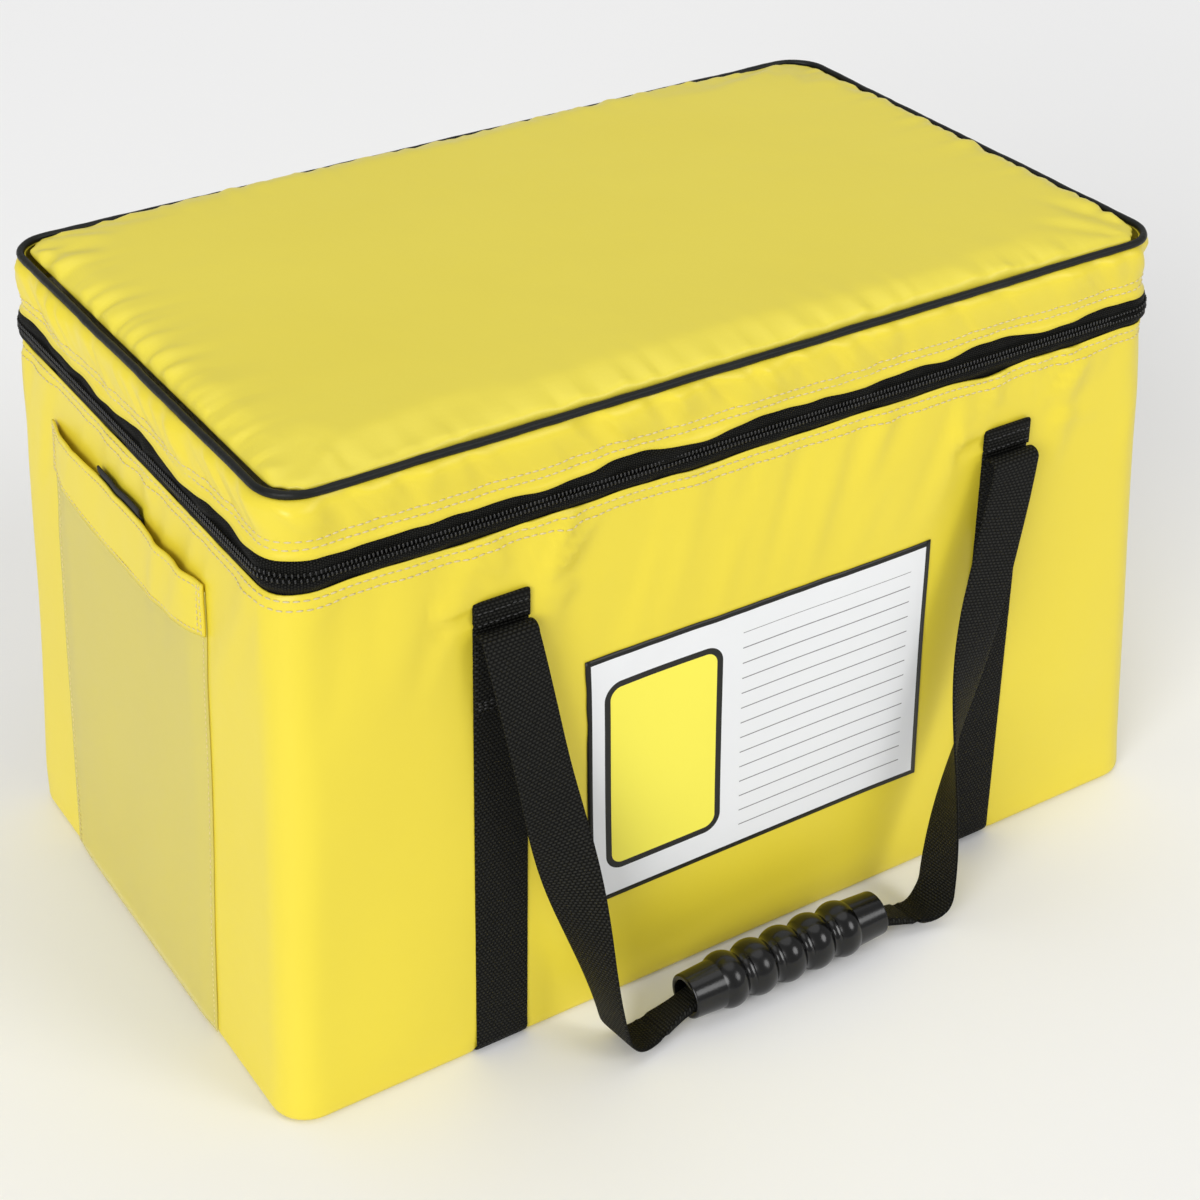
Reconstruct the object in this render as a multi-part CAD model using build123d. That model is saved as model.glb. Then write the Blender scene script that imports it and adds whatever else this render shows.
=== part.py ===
from build123d import *
import math
import os

# Cytotoxic drug transport bag: a foam-walled box of coated yellow fabric with a zipped padded
# lid, two webbing straps under the base, a webbing handle with a ribbed grip on each long face
# and a clear document pocket on the left end.
# Frame: the origin is at the centre of the underside, +X along the front, +Y to the back, +Z up.

# Body: outline at the floor, and how far each wall leans in over the body's height
base_length = 555.0
base_width = 332.0
body_height = 299.0
end_draw_in = 22.0
face_draw_in = 10.0
corner_radius = 20.0
bottom_edge_radius = 5.0

# Layers of the wall and of the base
fabric = 1.0
liner = 0.8
wall_foam = 10.3
layer_gap = 0.2
base_foam_height = 10.0
board = 3.0
base_seam = 14.0

# Zip: tapes and coils on both sides of a parting slit, bulging out past the fabric
zip_height = 16.0
zip_bulge = 1.2
zip_tape = 0.6
zip_slope = 4.0
zip_seam = 7.0
zip_slit = 1.6
coil_height = 2.4
coil_depth = 2.0
zip_turn = 50.0

# Lid
band_height = 28.0
band_flare = 3.0
band_flare_height = 23.0
piping_diameter = 4.5
piping_inset = 0.5
lid_rise = 9.0
lid_edge_radius = 5.0
crown_radius = 8700.0
lid_padding = 20.0
hinge_slit = 0.4
hinge_clearance = 0.3

# Carrying straps
webbing_width = 30.0
webbing = 1.5
strap_bend = 4.5
strap_bed_margin = 0.5
strap_top = 265.0
strap_tab = 13.0
left_strap = (-157.0, -146.0)
right_strap = (149.8, 155.6)
strap_straight = 9.0

# Handles: sewn end, fold at the pivot, web, and grip lying on the floor
sewn_length = 44.0
sewn_top = 250.0
pivot_height = 246.0
fold_radius = 3.2
fold_clearance = 0.4
fold_lift = 2.0
grip_reach = 37.5
grip_offset = -6.5
bend_spread = 29.0
bend_radius = 14.0
bend_drop = 11.4
twist_start = 110.0
gathered_width = 16.0
gathered_thickness = 7.0
web_steps = 10
bend_steps = 7

# Ribbed grip
grip_length = 124.0
grip_end_diameter = 24.5
grip_shoulder_diameter = 26.5
grip_rib_diameter = 31.0
grip_waist_diameter = 23.5
grip_play = 0.3
grip_rib_count = 5
grip_rib_pitch = 18.5
grip_rib_width = 12.5
grip_mouth_round = 1.2
floor_gap = 0.3

# Label on the front
label_length = 210.0
label_height = 148.0
label_left = -102.0
label_bottom = 65.0
label_thickness = 0.5

# Document pocket on the left end
pocket_width = 186.0
pocket_centre = 9.0
pocket_bottom = 4.0
pocket_top = 266.0
pocket_depth = 2.0
pocket_film = 0.5
pocket_weld = 3.0
hem_bottom = 242.0
hem_top = 270.0
hem_fabric = 1.2
closure_length = 50.0
closure_centre = 13.0
closure_thickness = 0.9
hook_bottom = 250.0
loop_bottom = 248.0
loop_top = 274.0

# Zip slider and pull on the right end
slider_length = 15.0
slider_height = 11.0
slider_plate = 1.2
slider_inner_height = 7.6
slider_clearance = 0.3
slider_lip = 1.2
slider_post_height = 0.9
slider_post_length = 4.0
slider_rear_margin = 1.2
slider_bay_front = 1.5
bridge_width = 3.0
bridge_wall = 1.2
bridge_half_height = 3.1
bridge_opening = 2.9
pull_length = 30.0
pull_width = 8.0
pull_thickness = 1.6
pull_bar_diameter = 1.8
pull_window_half = 2.2
pull_window_depth = 4.7
pull_grip_hole = 2.0

# Worked out from the sizes above
zip_middle = body_height + zip_height / 2
lid_bottom = body_height + zip_height
piping_height = lid_bottom + band_height + piping_diameter / 2
lid_edge_height = lid_bottom + band_height
lid_top = lid_edge_height + piping_diameter / 2 + lid_rise
foam_inset = fabric + zip_tape + 0.1
liner_inset = foam_inset + wall_foam + layer_gap
board_bottom = fabric + base_foam_height
board_top = board_bottom + board
rim_height = body_height - fabric
end_lean = math.degrees(math.atan(end_draw_in / body_height))
face_lean = math.degrees(math.atan(face_draw_in / body_height))
sewn_face = 2 * webbing
pivot_outset = sewn_face + fold_clearance + fold_radius
grip_height = grip_rib_diameter / 2 + floor_gap
grip_bore = math.hypot(gathered_width, gathered_thickness) + 2 * grip_play


def half_length(z):
    return base_length / 2 - end_draw_in * z / body_height


def half_width(z):
    return base_width / 2 - face_draw_in * z / body_height


hinge_y = half_width(zip_middle) + hinge_clearance
zip_end_y = half_width(zip_middle) - corner_radius * (1 - math.sin(math.radians(zip_turn)))
pivot_y = half_width(pivot_height) + pivot_outset
grip_y = pivot_y + grip_reach
slider_rear = half_width(zip_middle) - corner_radius - slider_rear_margin
slider_y = slider_rear - slider_length / 2


# The leaning outline of the bag and the solids cut from it

def outline(z, inset):
    radius = max(corner_radius - inset, 2.0)
    shape = RectangleRounded(2 * (half_length(z) - inset), 2 * (half_width(z) - inset), radius)
    return Plane.XY.offset(z) * shape


def block(low, high, inset, top_inset=None):
    top = inset if top_inset is None else top_inset
    return loft([outline(low, inset), outline(high, top)], ruled=True)


def ring(low, high, inset, thickness, top_inset=None):
    top = inset if top_inset is None else top_inset
    outer = block(low, high, inset, top)
    return outer - block(low, high, inset + thickness, top + thickness)


def core(end_inset, face_inset):
    """The room inside the end walls and the faces, with square corners, to cut the foam."""
    def plan(z):
        floor = Rectangle(2 * (half_length(z) - end_inset), 2 * (half_width(z) - face_inset))
        return Plane.XY.offset(z) * floor

    return loft([plan(0), plan(body_height)], ruled=True)


def span(x0, x1, y0, y1, z0, z1):
    middle = Pos((x0 + x1) / 2, (y0 + y1) / 2, (z0 + z1) / 2)
    return middle * Box(x1 - x0, y1 - y0, z1 - z0)


def before(y):
    return span(-base_length, base_length, -base_width, y, 0, 2 * body_height)


def behind(y):
    return span(-base_length, base_length, y, base_width, 0, 2 * body_height)


# Wall planes: local x runs to the right and local y up the wall, seen from outside

def wall_plane(name):
    end = math.radians(end_lean)
    face = math.radians(face_lean)
    if name == "front":
        normal = (0, -math.cos(face), math.sin(face))
        return Plane(origin=(0, -base_width / 2, 0), x_dir=(1, 0, 0), z_dir=normal)
    if name == "left":
        normal = (-math.cos(end), 0, math.sin(end))
        return Plane(origin=(-base_length / 2, 0, 0), x_dir=(0, -1, 0), z_dir=normal)
    normal = (math.cos(end), 0, math.sin(end))
    return Plane(origin=(base_length / 2, 0, 0), x_dir=(0, 1, 0), z_dir=normal)


def wall_axis(name):
    return Axis(wall_plane(name).origin, wall_plane(name).z_dir)


def on_wall(name, x0, x1, y0, y1, n0, n1):
    return wall_plane(name).location * span(x0, x1, y0, y1, n0, n1)


# Straps: the cross-section of the bag along which the webbing runs, front to back

def cross_section(inset, top):
    """The bag's cross-section inside a strap, moved in by an inset, as a long prism."""
    floor = webbing + inset
    points = [
        (half_width(floor) - inset, floor),
        (half_width(top) - inset, top),
        (-half_width(top) + inset, top),
        (-half_width(floor) + inset, floor),
    ]
    prism = extrude(Plane.YZ * make_face(Polyline(*points, close=True)), base_length / 2, both=True)
    low = prism.edges().filter_by(Axis.X).group_by(Axis.Z)[0]
    return chamfer(low, strap_bend - inset * (2 - math.sqrt(2)))


def strap_x(foot, head, z):
    if z < strap_straight:
        return foot
    return foot + (head - foot) * (z - strap_straight) / (strap_top - strap_straight)


def strap_slab(foot, head, low, high):
    """The strip of width that a strap covers, leaning from its foot to its head."""
    half = webbing_width / 2
    heights = [low]
    if low < strap_straight < high:
        heights.append(strap_straight)
    heights.append(high)
    right = [(strap_x(foot, head, z) + half, z) for z in heights]
    left = [(strap_x(foot, head, z) - half, z) for z in reversed(heights)]
    face = Plane.XZ * make_face(Polyline(*right, *left, close=True))
    return extrude(face, base_width, both=True)


def strap_beds(inset):
    """What the straps press in at the bottom edges and under the base."""
    half = webbing_width / 2 + strap_bed_margin + inset
    beds = [
        span(foot - half, foot + half, -base_width, base_width, -webbing, strap_straight)
        for foot, head in (left_strap, right_strap)
    ]
    return (beds[0] + beds[1]) - cross_section(inset, 2 * strap_straight)


def strap(foot, head):
    outside = cross_section(-webbing, strap_top)
    run = outside - cross_section(0, strap_top + fabric)
    tab = cross_section(-2 * webbing, strap_top) - outside
    tab &= span(-base_length, base_length, -base_width, base_width, strap_top - strap_tab, strap_top)
    return (run + tab) & strap_slab(foot, head, -webbing, strap_top)


# Body of the bag

def rounded_block(inset):
    solid = block(inset, body_height, inset)
    low = solid.edges().group_by(Axis.Z)[0]
    return fillet(low, bottom_edge_radius - inset) - strap_beds(inset)


def base_seam_area():
    half_x = base_length / 2 - base_seam
    half_y = base_width / 2 - base_seam
    return span(-half_x, half_x, -half_y, half_y, -fabric, 2 * webbing)


def wrap():
    inside = rounded_block(fabric)
    inside += block(body_height - fabric, body_height + fabric, fabric)
    return rounded_block(0) - inside


def outer_shell():
    return wrap() - base_seam_area()


def base_panel():
    return wrap() & base_seam_area()


def base_foam():
    solid = block(fabric, board_bottom, foam_inset)
    low = solid.edges().group_by(Axis.Z)[0]
    return fillet(low, bottom_edge_radius - fabric) - strap_beds(fabric)


def base_board():
    return block(board_bottom, board_top, foam_inset)


def foam_ring():
    depth = foam_inset + wall_foam
    return block(board_top, rim_height - liner - layer_gap, foam_inset) - core(depth, depth)


def between_ends():
    return core(liner_inset, -base_width)


def end_foam(side):
    half = span(0, base_length, -base_width, base_width, 0, body_height)
    if side < 0:
        half = mirror(half, Plane.YZ)
    return (foam_ring() - between_ends()) & half


def face_foam(side):
    half = before(0) if side < 0 else behind(0)
    return foam_ring() & between_ends() & half


def inner_liner():
    tub = block(board_top, rim_height, liner_inset)
    tub -= block(board_top + liner, rim_height + liner, liner_inset + liner)
    rim = ring(rim_height - liner, rim_height, foam_inset + layer_gap, wall_foam)
    return tub + rim


# Zip: one half is built below the slit; the other is its mirror image about the parting height

def zip_profile(side):
    """Tape of one side: sewn seam behind the fabric, slope outwards, then the upright edge."""
    edge = body_height if side < 0 else lid_bottom
    upright = edge - side * zip_slope
    slit = zip_middle + side * zip_slit / 2
    seam = edge + side * zip_seam
    tape = ring(min(seam, edge), max(seam, edge), fabric, zip_tape)
    if side < 0:
        tape += ring(edge, upright, fabric, zip_tape, -zip_bulge)
        return tape + ring(upright, slit, -zip_bulge, zip_tape)
    tape += ring(upright, edge, -zip_bulge, zip_tape, fabric)
    return tape + ring(slit, upright, -zip_bulge, zip_tape)


def zip_bead(side):
    slit = zip_middle + side * zip_slit / 2
    far = slit + side * coil_height
    bead = ring(min(slit, far), max(slit, far), -zip_bulge - coil_depth, coil_depth)
    outer = bead.faces().filter_by(Plane.XY)
    rim = [e for f in outer for e in f.outer_wire().edges()]
    return fillet(rim, coil_depth * 0.4)


def slider_bay():
    """Where the lid's half of the zip ends short, so that the parked slider stays clear of it."""
    front = slider_rear - slider_length - slider_bay_front
    rear = slider_rear + slider_rear_margin
    return span(base_length / 3, base_length, front, rear, zip_middle, lid_bottom)


def zip_half(side, make):
    half = make(side) & before(zip_end_y)
    return half - slider_bay() if side > 0 else half


def hinge_half(side):
    if side < 0:
        strip = ring(body_height, zip_middle - hinge_slit / 2, 0, fabric)
    else:
        strip = ring(zip_middle + hinge_slit / 2, lid_bottom, 0, fabric)
    return strip & behind(zip_end_y + layer_gap)


# Lid

def lid_band():
    flare_top = lid_bottom + band_flare_height
    top_inset = piping_inset - piping_diameter / 4
    lower = ring(lid_bottom, flare_top, 0, fabric, -band_flare)
    return lower + ring(flare_top, lid_edge_height, -band_flare, fabric, top_inset)


def lid_piping():
    path = outline(piping_height, piping_inset).face().outer_wire()
    start = Plane(origin=path @ 0, z_dir=path % 0)
    return sweep(start * Circle(piping_diameter / 2), path)


def pillow(inset, drop):
    """The lid's domed padding: a low block under a very large sphere, with rounded edges."""
    solid = block(lid_edge_height, lid_top + lid_rise, inset)
    solid &= Pos(0, 0, lid_top - crown_radius) * Sphere(crown_radius - drop)
    above = [e for e in solid.edges() if e.center().Z > lid_edge_height + lid_rise / 4]
    rim = [e for e in above if e.bounding_box().size.Z < lid_rise / 2]
    return fillet(rim, lid_edge_radius - drop)


def lid_inset():
    return piping_inset + piping_diameter / 2 + layer_gap


def lid_panel():
    return pillow(lid_inset(), 0) - pillow(lid_inset() + fabric, fabric)


def lid_foam():
    low = lid_edge_height - lid_padding
    inset = lid_inset() + fabric
    return block(low, lid_edge_height, inset) + pillow(inset, fabric)


def lid_liner():
    low = lid_edge_height - lid_padding - liner
    return block(low, low + liner, foam_inset + layer_gap)


# Label and document pocket

def label_panel():
    right = label_left + label_length
    top = label_bottom + label_height
    return on_wall("front", label_left, right, label_bottom, top, 0, label_thickness)


def pocket_span(bottom, top, low, high, half=pocket_width / 2):
    return on_wall("left", -pocket_centre - half, -pocket_centre + half, bottom, top, low, high)


def pocket_window():
    tray = pocket_span(pocket_bottom, pocket_top, 0, pocket_depth + pocket_film)
    inside = pocket_span(
        pocket_bottom + pocket_weld, pocket_top + pocket_weld, 0, pocket_depth,
        pocket_width / 2 - pocket_weld,
    )
    return tray - inside


def pocket_hem():
    low = pocket_depth + pocket_film
    hem = pocket_span(hem_bottom, hem_top, low, low + hem_fabric)
    edges = hem.edges().group_by(wall_axis("left"))[-1]
    return fillet(edges, hem_fabric * 0.45)


def closure_tape(bottom, top, low):
    left = -closure_centre - closure_length / 2
    return on_wall("left", left, left + closure_length, bottom, top, low, low + closure_thickness)


# Handles: a plane through the pivot line and the grip, local x along the bag and local y upwards

def handle_plane():
    drop = pivot_height - grip_height
    lean = math.atan(grip_reach / drop)
    normal = (0, -math.cos(lean), math.sin(lean))
    return Plane(origin=(0, -pivot_y, pivot_height), x_dir=(1, 0, 0), z_dir=normal)


grip_drop = math.hypot(grip_reach, pivot_height - grip_height)


def web_heading(offset, turn):
    """Heading of a line that touches the low bend, from the offset of the bend's centre."""
    return math.atan2(offset[1], offset[0]) + turn * math.asin(bend_radius / math.hypot(*offset))


def web_stations(side):
    """One leg, from the grip round the low bend to the pivot; x runs away from the bag's middle."""
    foot, head = left_strap if side < 0 else right_strap
    top = (side * strap_x(foot, head, pivot_height), 0.0)
    entry = (side * grip_offset + grip_length / 2, -grip_drop)
    centre = (entry[0] + bend_spread, -grip_drop - bend_drop + bend_radius)
    down = web_heading((centre[0] - top[0], centre[1]), 1)
    up = web_heading((centre[0] - entry[0], centre[1] - entry[1]), -1) - math.pi

    def round_bend(share):
        turn = down + (up - down) * share
        x = centre[0] - bend_radius * math.sin(turn)
        return x, centre[1] + bend_radius * math.cos(turn), turn

    start = round_bend(0)
    length = math.hypot(start[0] - top[0], start[1])
    stations = []
    for n in range(web_steps + 1):
        share = n / web_steps
        x = top[0] + (start[0] - top[0]) * share
        twist = 90 * min(max((length * share - twist_start) / (length - twist_start), 0), 1)
        lift = fold_lift * (1 - share)
        heading = down if n else -math.pi / 2
        stations.append((x, start[1] * share, heading, lift, twist, webbing_width, webbing))
    for n in range(1, bend_steps + 1):
        share = n / bend_steps
        wide = webbing_width + (gathered_width - webbing_width) * share
        thick = webbing + (gathered_thickness - webbing) * share
        stations.append((*round_bend(share), 0, 90, wide, thick))
    stations.append((*entry, -math.pi, 0, 90, gathered_width, gathered_thickness))
    return stations[::-1]


def web_section(station):
    x, y, heading, lift, twist, width, thick = station
    base = handle_plane()
    along = base.x_dir * -math.cos(heading) + base.y_dir * -math.sin(heading)
    across = base.x_dir * math.sin(heading) + base.y_dir * -math.cos(heading)
    turn = math.radians(twist)
    wide = across * math.cos(turn) + base.z_dir * math.sin(turn)
    origin = base.origin + base.x_dir * x + base.y_dir * y + base.z_dir * lift
    return Plane(origin=origin, x_dir=wide, z_dir=along) * Rectangle(width, thick)


def web_leg(side):
    stations = web_stations(side)
    leg = loft([web_section(s) for s in stations], ruled=True)
    roll = Rot(0, 90, 0) * Cylinder(fold_radius, webbing_width)
    leg += Pos(stations[-1][0], -pivot_y, pivot_height) * roll
    return mirror(leg, Plane.YZ) if side < 0 else leg


def handle_web():
    """One length of webbing: down from the left fold, through the grip and up to the right fold."""
    gathered = Box(grip_length, gathered_thickness, gathered_width)
    run = handle_plane().location * Pos(grip_offset, -grip_drop, 0) * gathered
    return run + web_leg(1) + web_leg(-1)


def grip():
    """A revolved tube: plain mouths, rounded ribs and waists, along X."""
    half = grip_length / 2
    end = grip_end_diameter / 2
    shoulder = grip_shoulder_diameter / 2
    rib = grip_rib_diameter / 2
    waist = grip_waist_diameter / 2
    mean = (rib + waist) / 2
    first = -(grip_rib_count - 1) / 2 * grip_rib_pitch
    start = first - grip_rib_width / 2
    lines = [Line((-half, grip_bore / 2), (-half, end)), Line((-half, end), (start, shoulder))]
    at = (start, shoulder)
    for n in range(grip_rib_count):
        middle = first + n * grip_rib_pitch
        last = n == grip_rib_count - 1
        stop = (middle + grip_rib_width / 2, shoulder if last else mean)
        lines.append(ThreePointArc(at, (middle, rib), stop))
        at = stop
        if not last:
            follow = (middle + grip_rib_pitch - grip_rib_width / 2, mean)
            lines.append(ThreePointArc(at, (middle + grip_rib_pitch / 2, waist), follow))
            at = follow
    lines.append(Line(at, (half, end)))
    lines.append(Line((half, end), (half, grip_bore / 2)))
    lines.append(Line((half, grip_bore / 2), (-half, grip_bore / 2)))
    tube = revolve(make_face(Wire(lines)), Axis.X)
    mouths = tube.edges().filter_by(GeomType.CIRCLE).group_by(Axis.X)
    tube = fillet([*mouths[0], *mouths[-1]], grip_mouth_round)
    return Pos(grip_offset, -grip_y, grip_height) * tube


def sewn_end(foot, head):
    """The handle's end, sewn face to face on the strap below the fold."""
    layer = cross_section(-2 * webbing, sewn_top) - cross_section(-webbing, sewn_top + fabric)
    layer &= strap_slab(foot, head, sewn_top - sewn_length, sewn_top)
    return layer & before(0)


# Zip slider and pull, on the right end wall

def slider_span(length, n0, n1, z0, z1, shift=0.0):
    middle = zip_middle / math.cos(math.radians(end_lean))
    centre = slider_y + shift
    return on_wall("right", centre - length / 2, centre + length / 2, middle + z0, middle + z1, n0, n1)


def bridge_face():
    return zip_bulge + coil_depth + slider_clearance + slider_plate


def zip_slider():
    front = bridge_face() - slider_plate
    half = slider_height / 2
    plate = slider_span(slider_length, front, bridge_face(), -half, half)
    corners = plate.edges().filter_by(wall_axis("right"))
    plate = fillet(corners, slider_length / 5)
    back = zip_bulge - zip_tape - slider_clearance
    inner_half = slider_inner_height / 2
    body = plate + slider_span(slider_length, back - slider_plate, back, -inner_half, inner_half)
    post_shift = (slider_length - slider_post_length) / 2
    post = slider_post_height / 2
    body += slider_span(slider_post_length, back, front, -post, post, post_shift)
    lip_low = zip_bulge + slider_clearance
    straight = slider_length * 0.6
    body += slider_span(straight, lip_low, front, half - slider_lip, half)
    body += slider_span(straight, lip_low, front, -half, slider_lip - half)
    top = bridge_face() + bridge_opening + bridge_wall
    arch = slider_span(bridge_width, bridge_face(), top, -bridge_half_height, bridge_half_height)
    crest = arch.edges().filter_by(Axis.Y).group_by(wall_axis("right"))[-1]
    arch = fillet(crest, bridge_wall)
    hole = bridge_half_height - bridge_wall
    arch -= slider_span(bridge_width, bridge_face(), top - bridge_wall, -hole, hole)
    return body + arch


def pull_pivot():
    middle = zip_middle / math.cos(math.radians(end_lean))
    place = wall_plane("right").location * Pos(slider_y, middle, bridge_face() + bridge_opening / 2)
    return place.position


def zip_pull():
    half = pull_width / 2
    tab = span(-pull_thickness / 2, pull_thickness / 2, -half, half, -pull_length, 0)
    low = tab.edges().filter_by(Axis.X).group_by(Axis.Z)[0]
    tab = fillet(low, half * 0.7)
    tab -= span(-half, half, -pull_window_half, pull_window_half, -pull_window_depth, pull_thickness)
    hole_at = -pull_length + half + pull_grip_hole / 2
    tab -= Pos(0, 0, hole_at) * Rot(0, 90, 0) * Cylinder(pull_grip_hole, pull_width)
    bar = Rot(90, 0, 0) * Cylinder(pull_bar_diameter / 2, pull_width)
    return Pos(*pull_pivot()) * (tab + bar)


def behind_copy(shape):
    return mirror(shape, Plane.XZ)


def build_nodes():
    web = handle_web()
    front_grip = grip()
    wall_loop = closure_tape(loop_bottom, loop_top, 0)
    film_hook = closure_tape(hook_bottom, pocket_top, pocket_depth - closure_thickness)
    return {
        "outer_shell": outer_shell(),
        "base_panel": base_panel(),
        "base_foam": base_foam(),
        "base_board": base_board(),
        "foam_front": face_foam(-1),
        "foam_back": face_foam(1),
        "foam_left": end_foam(-1),
        "foam_right": end_foam(1),
        "inner_liner": inner_liner(),
        "body_zip_tape": zip_half(-1, zip_profile),
        "body_zip_coil": zip_half(-1, zip_bead),
        "hinge_strip": hinge_half(-1),
        "strap_left": strap(*left_strap),
        "strap_right": strap(*right_strap),
        "front_left_sewn_end": sewn_end(*left_strap),
        "front_right_sewn_end": sewn_end(*right_strap),
        "back_left_sewn_end": behind_copy(sewn_end(*left_strap)),
        "back_right_sewn_end": behind_copy(sewn_end(*right_strap)),
        "label_panel": label_panel(),
        "pocket_window": pocket_window(),
        "pocket_hem": pocket_hem(),
        "pocket_loop_tape": wall_loop,
        "pocket_hook_tape": film_hook,
        "lid_band": lid_band(),
        "lid_piping": lid_piping(),
        "lid_panel": lid_panel(),
        "lid_foam": lid_foam(),
        "lid_liner": lid_liner(),
        "lid_zip_tape": zip_half(1, zip_profile),
        "lid_zip_coil": zip_half(1, zip_bead),
        "lid_hinge_strip": hinge_half(1),
        "zip_slider": zip_slider(),
        "zip_pull": zip_pull(),
        "front_handle_web": web,
        "front_grip": front_grip,
        "back_handle_web": behind_copy(web),
        "back_grip": behind_copy(front_grip),
    }


os.makedirs("parts", exist_ok=True)
for node, solid in build_nodes().items():
    export_step(solid, f"parts/{node}.step")

print("hinge y", round(hinge_y, 3), "height", zip_middle)
print("handle pivot y", round(pivot_y, 3), "height", pivot_height)
print("grip centre y", round(grip_y, 3), "height", round(grip_height, 3))
print("pull pivot", [round(v, 3) for v in pull_pivot()])
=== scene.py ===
import math

import bmesh
import bpy
from mathutils import Matrix, Vector, noise
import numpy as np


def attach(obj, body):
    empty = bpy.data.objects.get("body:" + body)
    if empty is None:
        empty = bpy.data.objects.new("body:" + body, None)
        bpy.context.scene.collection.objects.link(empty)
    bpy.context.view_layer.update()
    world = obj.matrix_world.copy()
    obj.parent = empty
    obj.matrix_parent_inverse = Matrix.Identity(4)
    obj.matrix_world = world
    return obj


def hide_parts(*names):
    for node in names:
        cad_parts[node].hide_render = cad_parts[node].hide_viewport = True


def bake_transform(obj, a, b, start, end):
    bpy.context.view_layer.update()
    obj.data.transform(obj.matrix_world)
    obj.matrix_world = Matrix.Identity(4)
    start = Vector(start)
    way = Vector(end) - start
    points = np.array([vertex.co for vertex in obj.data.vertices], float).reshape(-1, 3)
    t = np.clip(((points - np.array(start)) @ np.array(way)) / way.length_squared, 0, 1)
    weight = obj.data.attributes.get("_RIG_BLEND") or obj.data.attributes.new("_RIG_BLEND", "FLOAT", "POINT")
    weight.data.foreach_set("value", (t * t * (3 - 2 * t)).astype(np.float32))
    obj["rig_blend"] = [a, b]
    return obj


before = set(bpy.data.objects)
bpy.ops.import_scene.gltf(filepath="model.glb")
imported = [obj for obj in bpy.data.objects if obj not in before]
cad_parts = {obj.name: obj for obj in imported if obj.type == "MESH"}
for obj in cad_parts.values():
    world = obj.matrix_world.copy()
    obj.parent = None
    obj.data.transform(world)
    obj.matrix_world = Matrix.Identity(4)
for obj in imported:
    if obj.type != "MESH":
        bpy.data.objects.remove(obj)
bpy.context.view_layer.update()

# Sizes of the bag in metres, as its solids have them: body, zip and lid
base_length, base_width, body_height = 0.555, 0.332, 0.299
end_draw, face_draw, corner = 0.022, 0.010, 0.020
face_lean = math.atan(face_draw / body_height)
face_reach = 0.006  # how far in from the front or back a point still belongs to it
zip_low, zip_bulge = body_height, 0.0012
zip_mid, zip_high = zip_low + 0.008, zip_low + 0.016
band_top, piping_radius = 0.343, 0.00225
piping_z = band_top + piping_radius
lid_crown, crown_radius = piping_z + 0.009, 8.7
pad_low, pad_inset = 0.3434, 0.0021

# Straps, as their places along the front at the floor and at the top, and handles
webbing_width, webbing = 0.030, 0.0015
strap_top, strap_tab, strap_straight = 0.265, 0.013, 0.009
straps = {"left": (-0.157, -0.146), "right": (0.1498, 0.1556)}
sewn_low, pivot_z, pivot_out = 0.206, 0.246, 0.0066
grip_reach, grip_offset, grip_length, grip_z = 0.0375, -0.0065, 0.124, 0.0158
bend_spread, bend_radius, bend_drop = 0.029, 0.014, 0.0114
gathered_width, gathered_thick = 0.0225, 0.003
neck_width, neck_thick, in_grip = 0.016, 0.005, 0.012
raised_web_x = 0.134

# Slider, printed form and pocket
slider_y, slider_room, right_end = 0.127, 0.0105, 0.22
form_left, form_low, form_wide, form_tall = -0.102, 0.065, 0.210, 0.148
pocket_low, pocket_mouth = 0.004, 0.266
pocket_front, pocket_back = -0.084, 0.102
hem_low, hem_high = 0.242, 0.270
closure_back, closure_wide = 0.038, 0.050


# Small helpers

def smooth(low, high, value):
    """Eases from 0 at low to 1 at high."""
    t = min(max((value - low) / (high - low), 0.0), 1.0)
    return t * t * (3 - 2 * t)


def wave(x, y=0.0, seed=0.0):
    """Smooth unevenness about zero, the same in every run."""
    return noise.noise(Vector((x, y, seed)))


def bump_at(value, centre, half):
    """1 at the centre, falling off to both sides."""
    return math.exp(-(((value - centre) / half) ** 2))


def piece(name, bm, body, material, *nodes, slot=None, shade=True):
    """Turns a bmesh into a piece of the model that rides on a body."""
    mesh = bpy.data.meshes.new(name)
    bm.to_mesh(mesh)
    bm.free()
    if shade:
        mesh.shade_smooth()
    obj = bpy.data.objects.new(name, mesh)
    bpy.context.scene.collection.objects.link(obj)
    mesh.materials.append(material)
    if body:
        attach(obj, body)
    if nodes:
        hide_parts(*nodes)
    return obj


def thicken(obj, amount, offset=-1.0):
    solid = obj.modifiers.new("thickness", "SOLIDIFY")
    solid.thickness = amount
    solid.offset = offset
    solid.use_even_offset = True


def round_off(obj, levels=1):
    sub = obj.modifiers.new("smooth", "SUBSURF")
    sub.levels = levels
    sub.render_levels = levels


# The leaning outline of the bag, followed once round from the middle of the back

def half_length(z):
    return base_length / 2 - end_draw * z / body_height


def half_width(z):
    return base_width / 2 - face_draw * z / body_height


straight = (base_length - 2 * corner, base_width - 2 * corner)
girth = 2 * sum(straight) + 2 * math.pi * corner


def around(share):
    """Point on the outline at the floor and the way it faces: back, left end, front, right end."""
    run = (share % 1.0) * girth + straight[0] / 2
    depth = (base_width / 2, base_length / 2)
    for side in range(5):
        turn = math.pi / 2 * (side + 1)
        facing = Vector((math.cos(turn), math.sin(turn)))
        along = Vector((-math.sin(turn), math.cos(turn)))
        reach = straight[side % 2]
        middle = facing * depth[side % 2]
        if run <= reach or side == 4:
            return middle + along * (run - reach / 2), facing
        run -= reach
        if run <= math.pi * corner / 2:
            angle = turn + run / corner
            facing_here = Vector((math.cos(angle), math.sin(angle)))
            return middle + along * reach / 2 + (facing_here - facing) * corner, facing_here
        run -= math.pi * corner / 2


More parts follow.
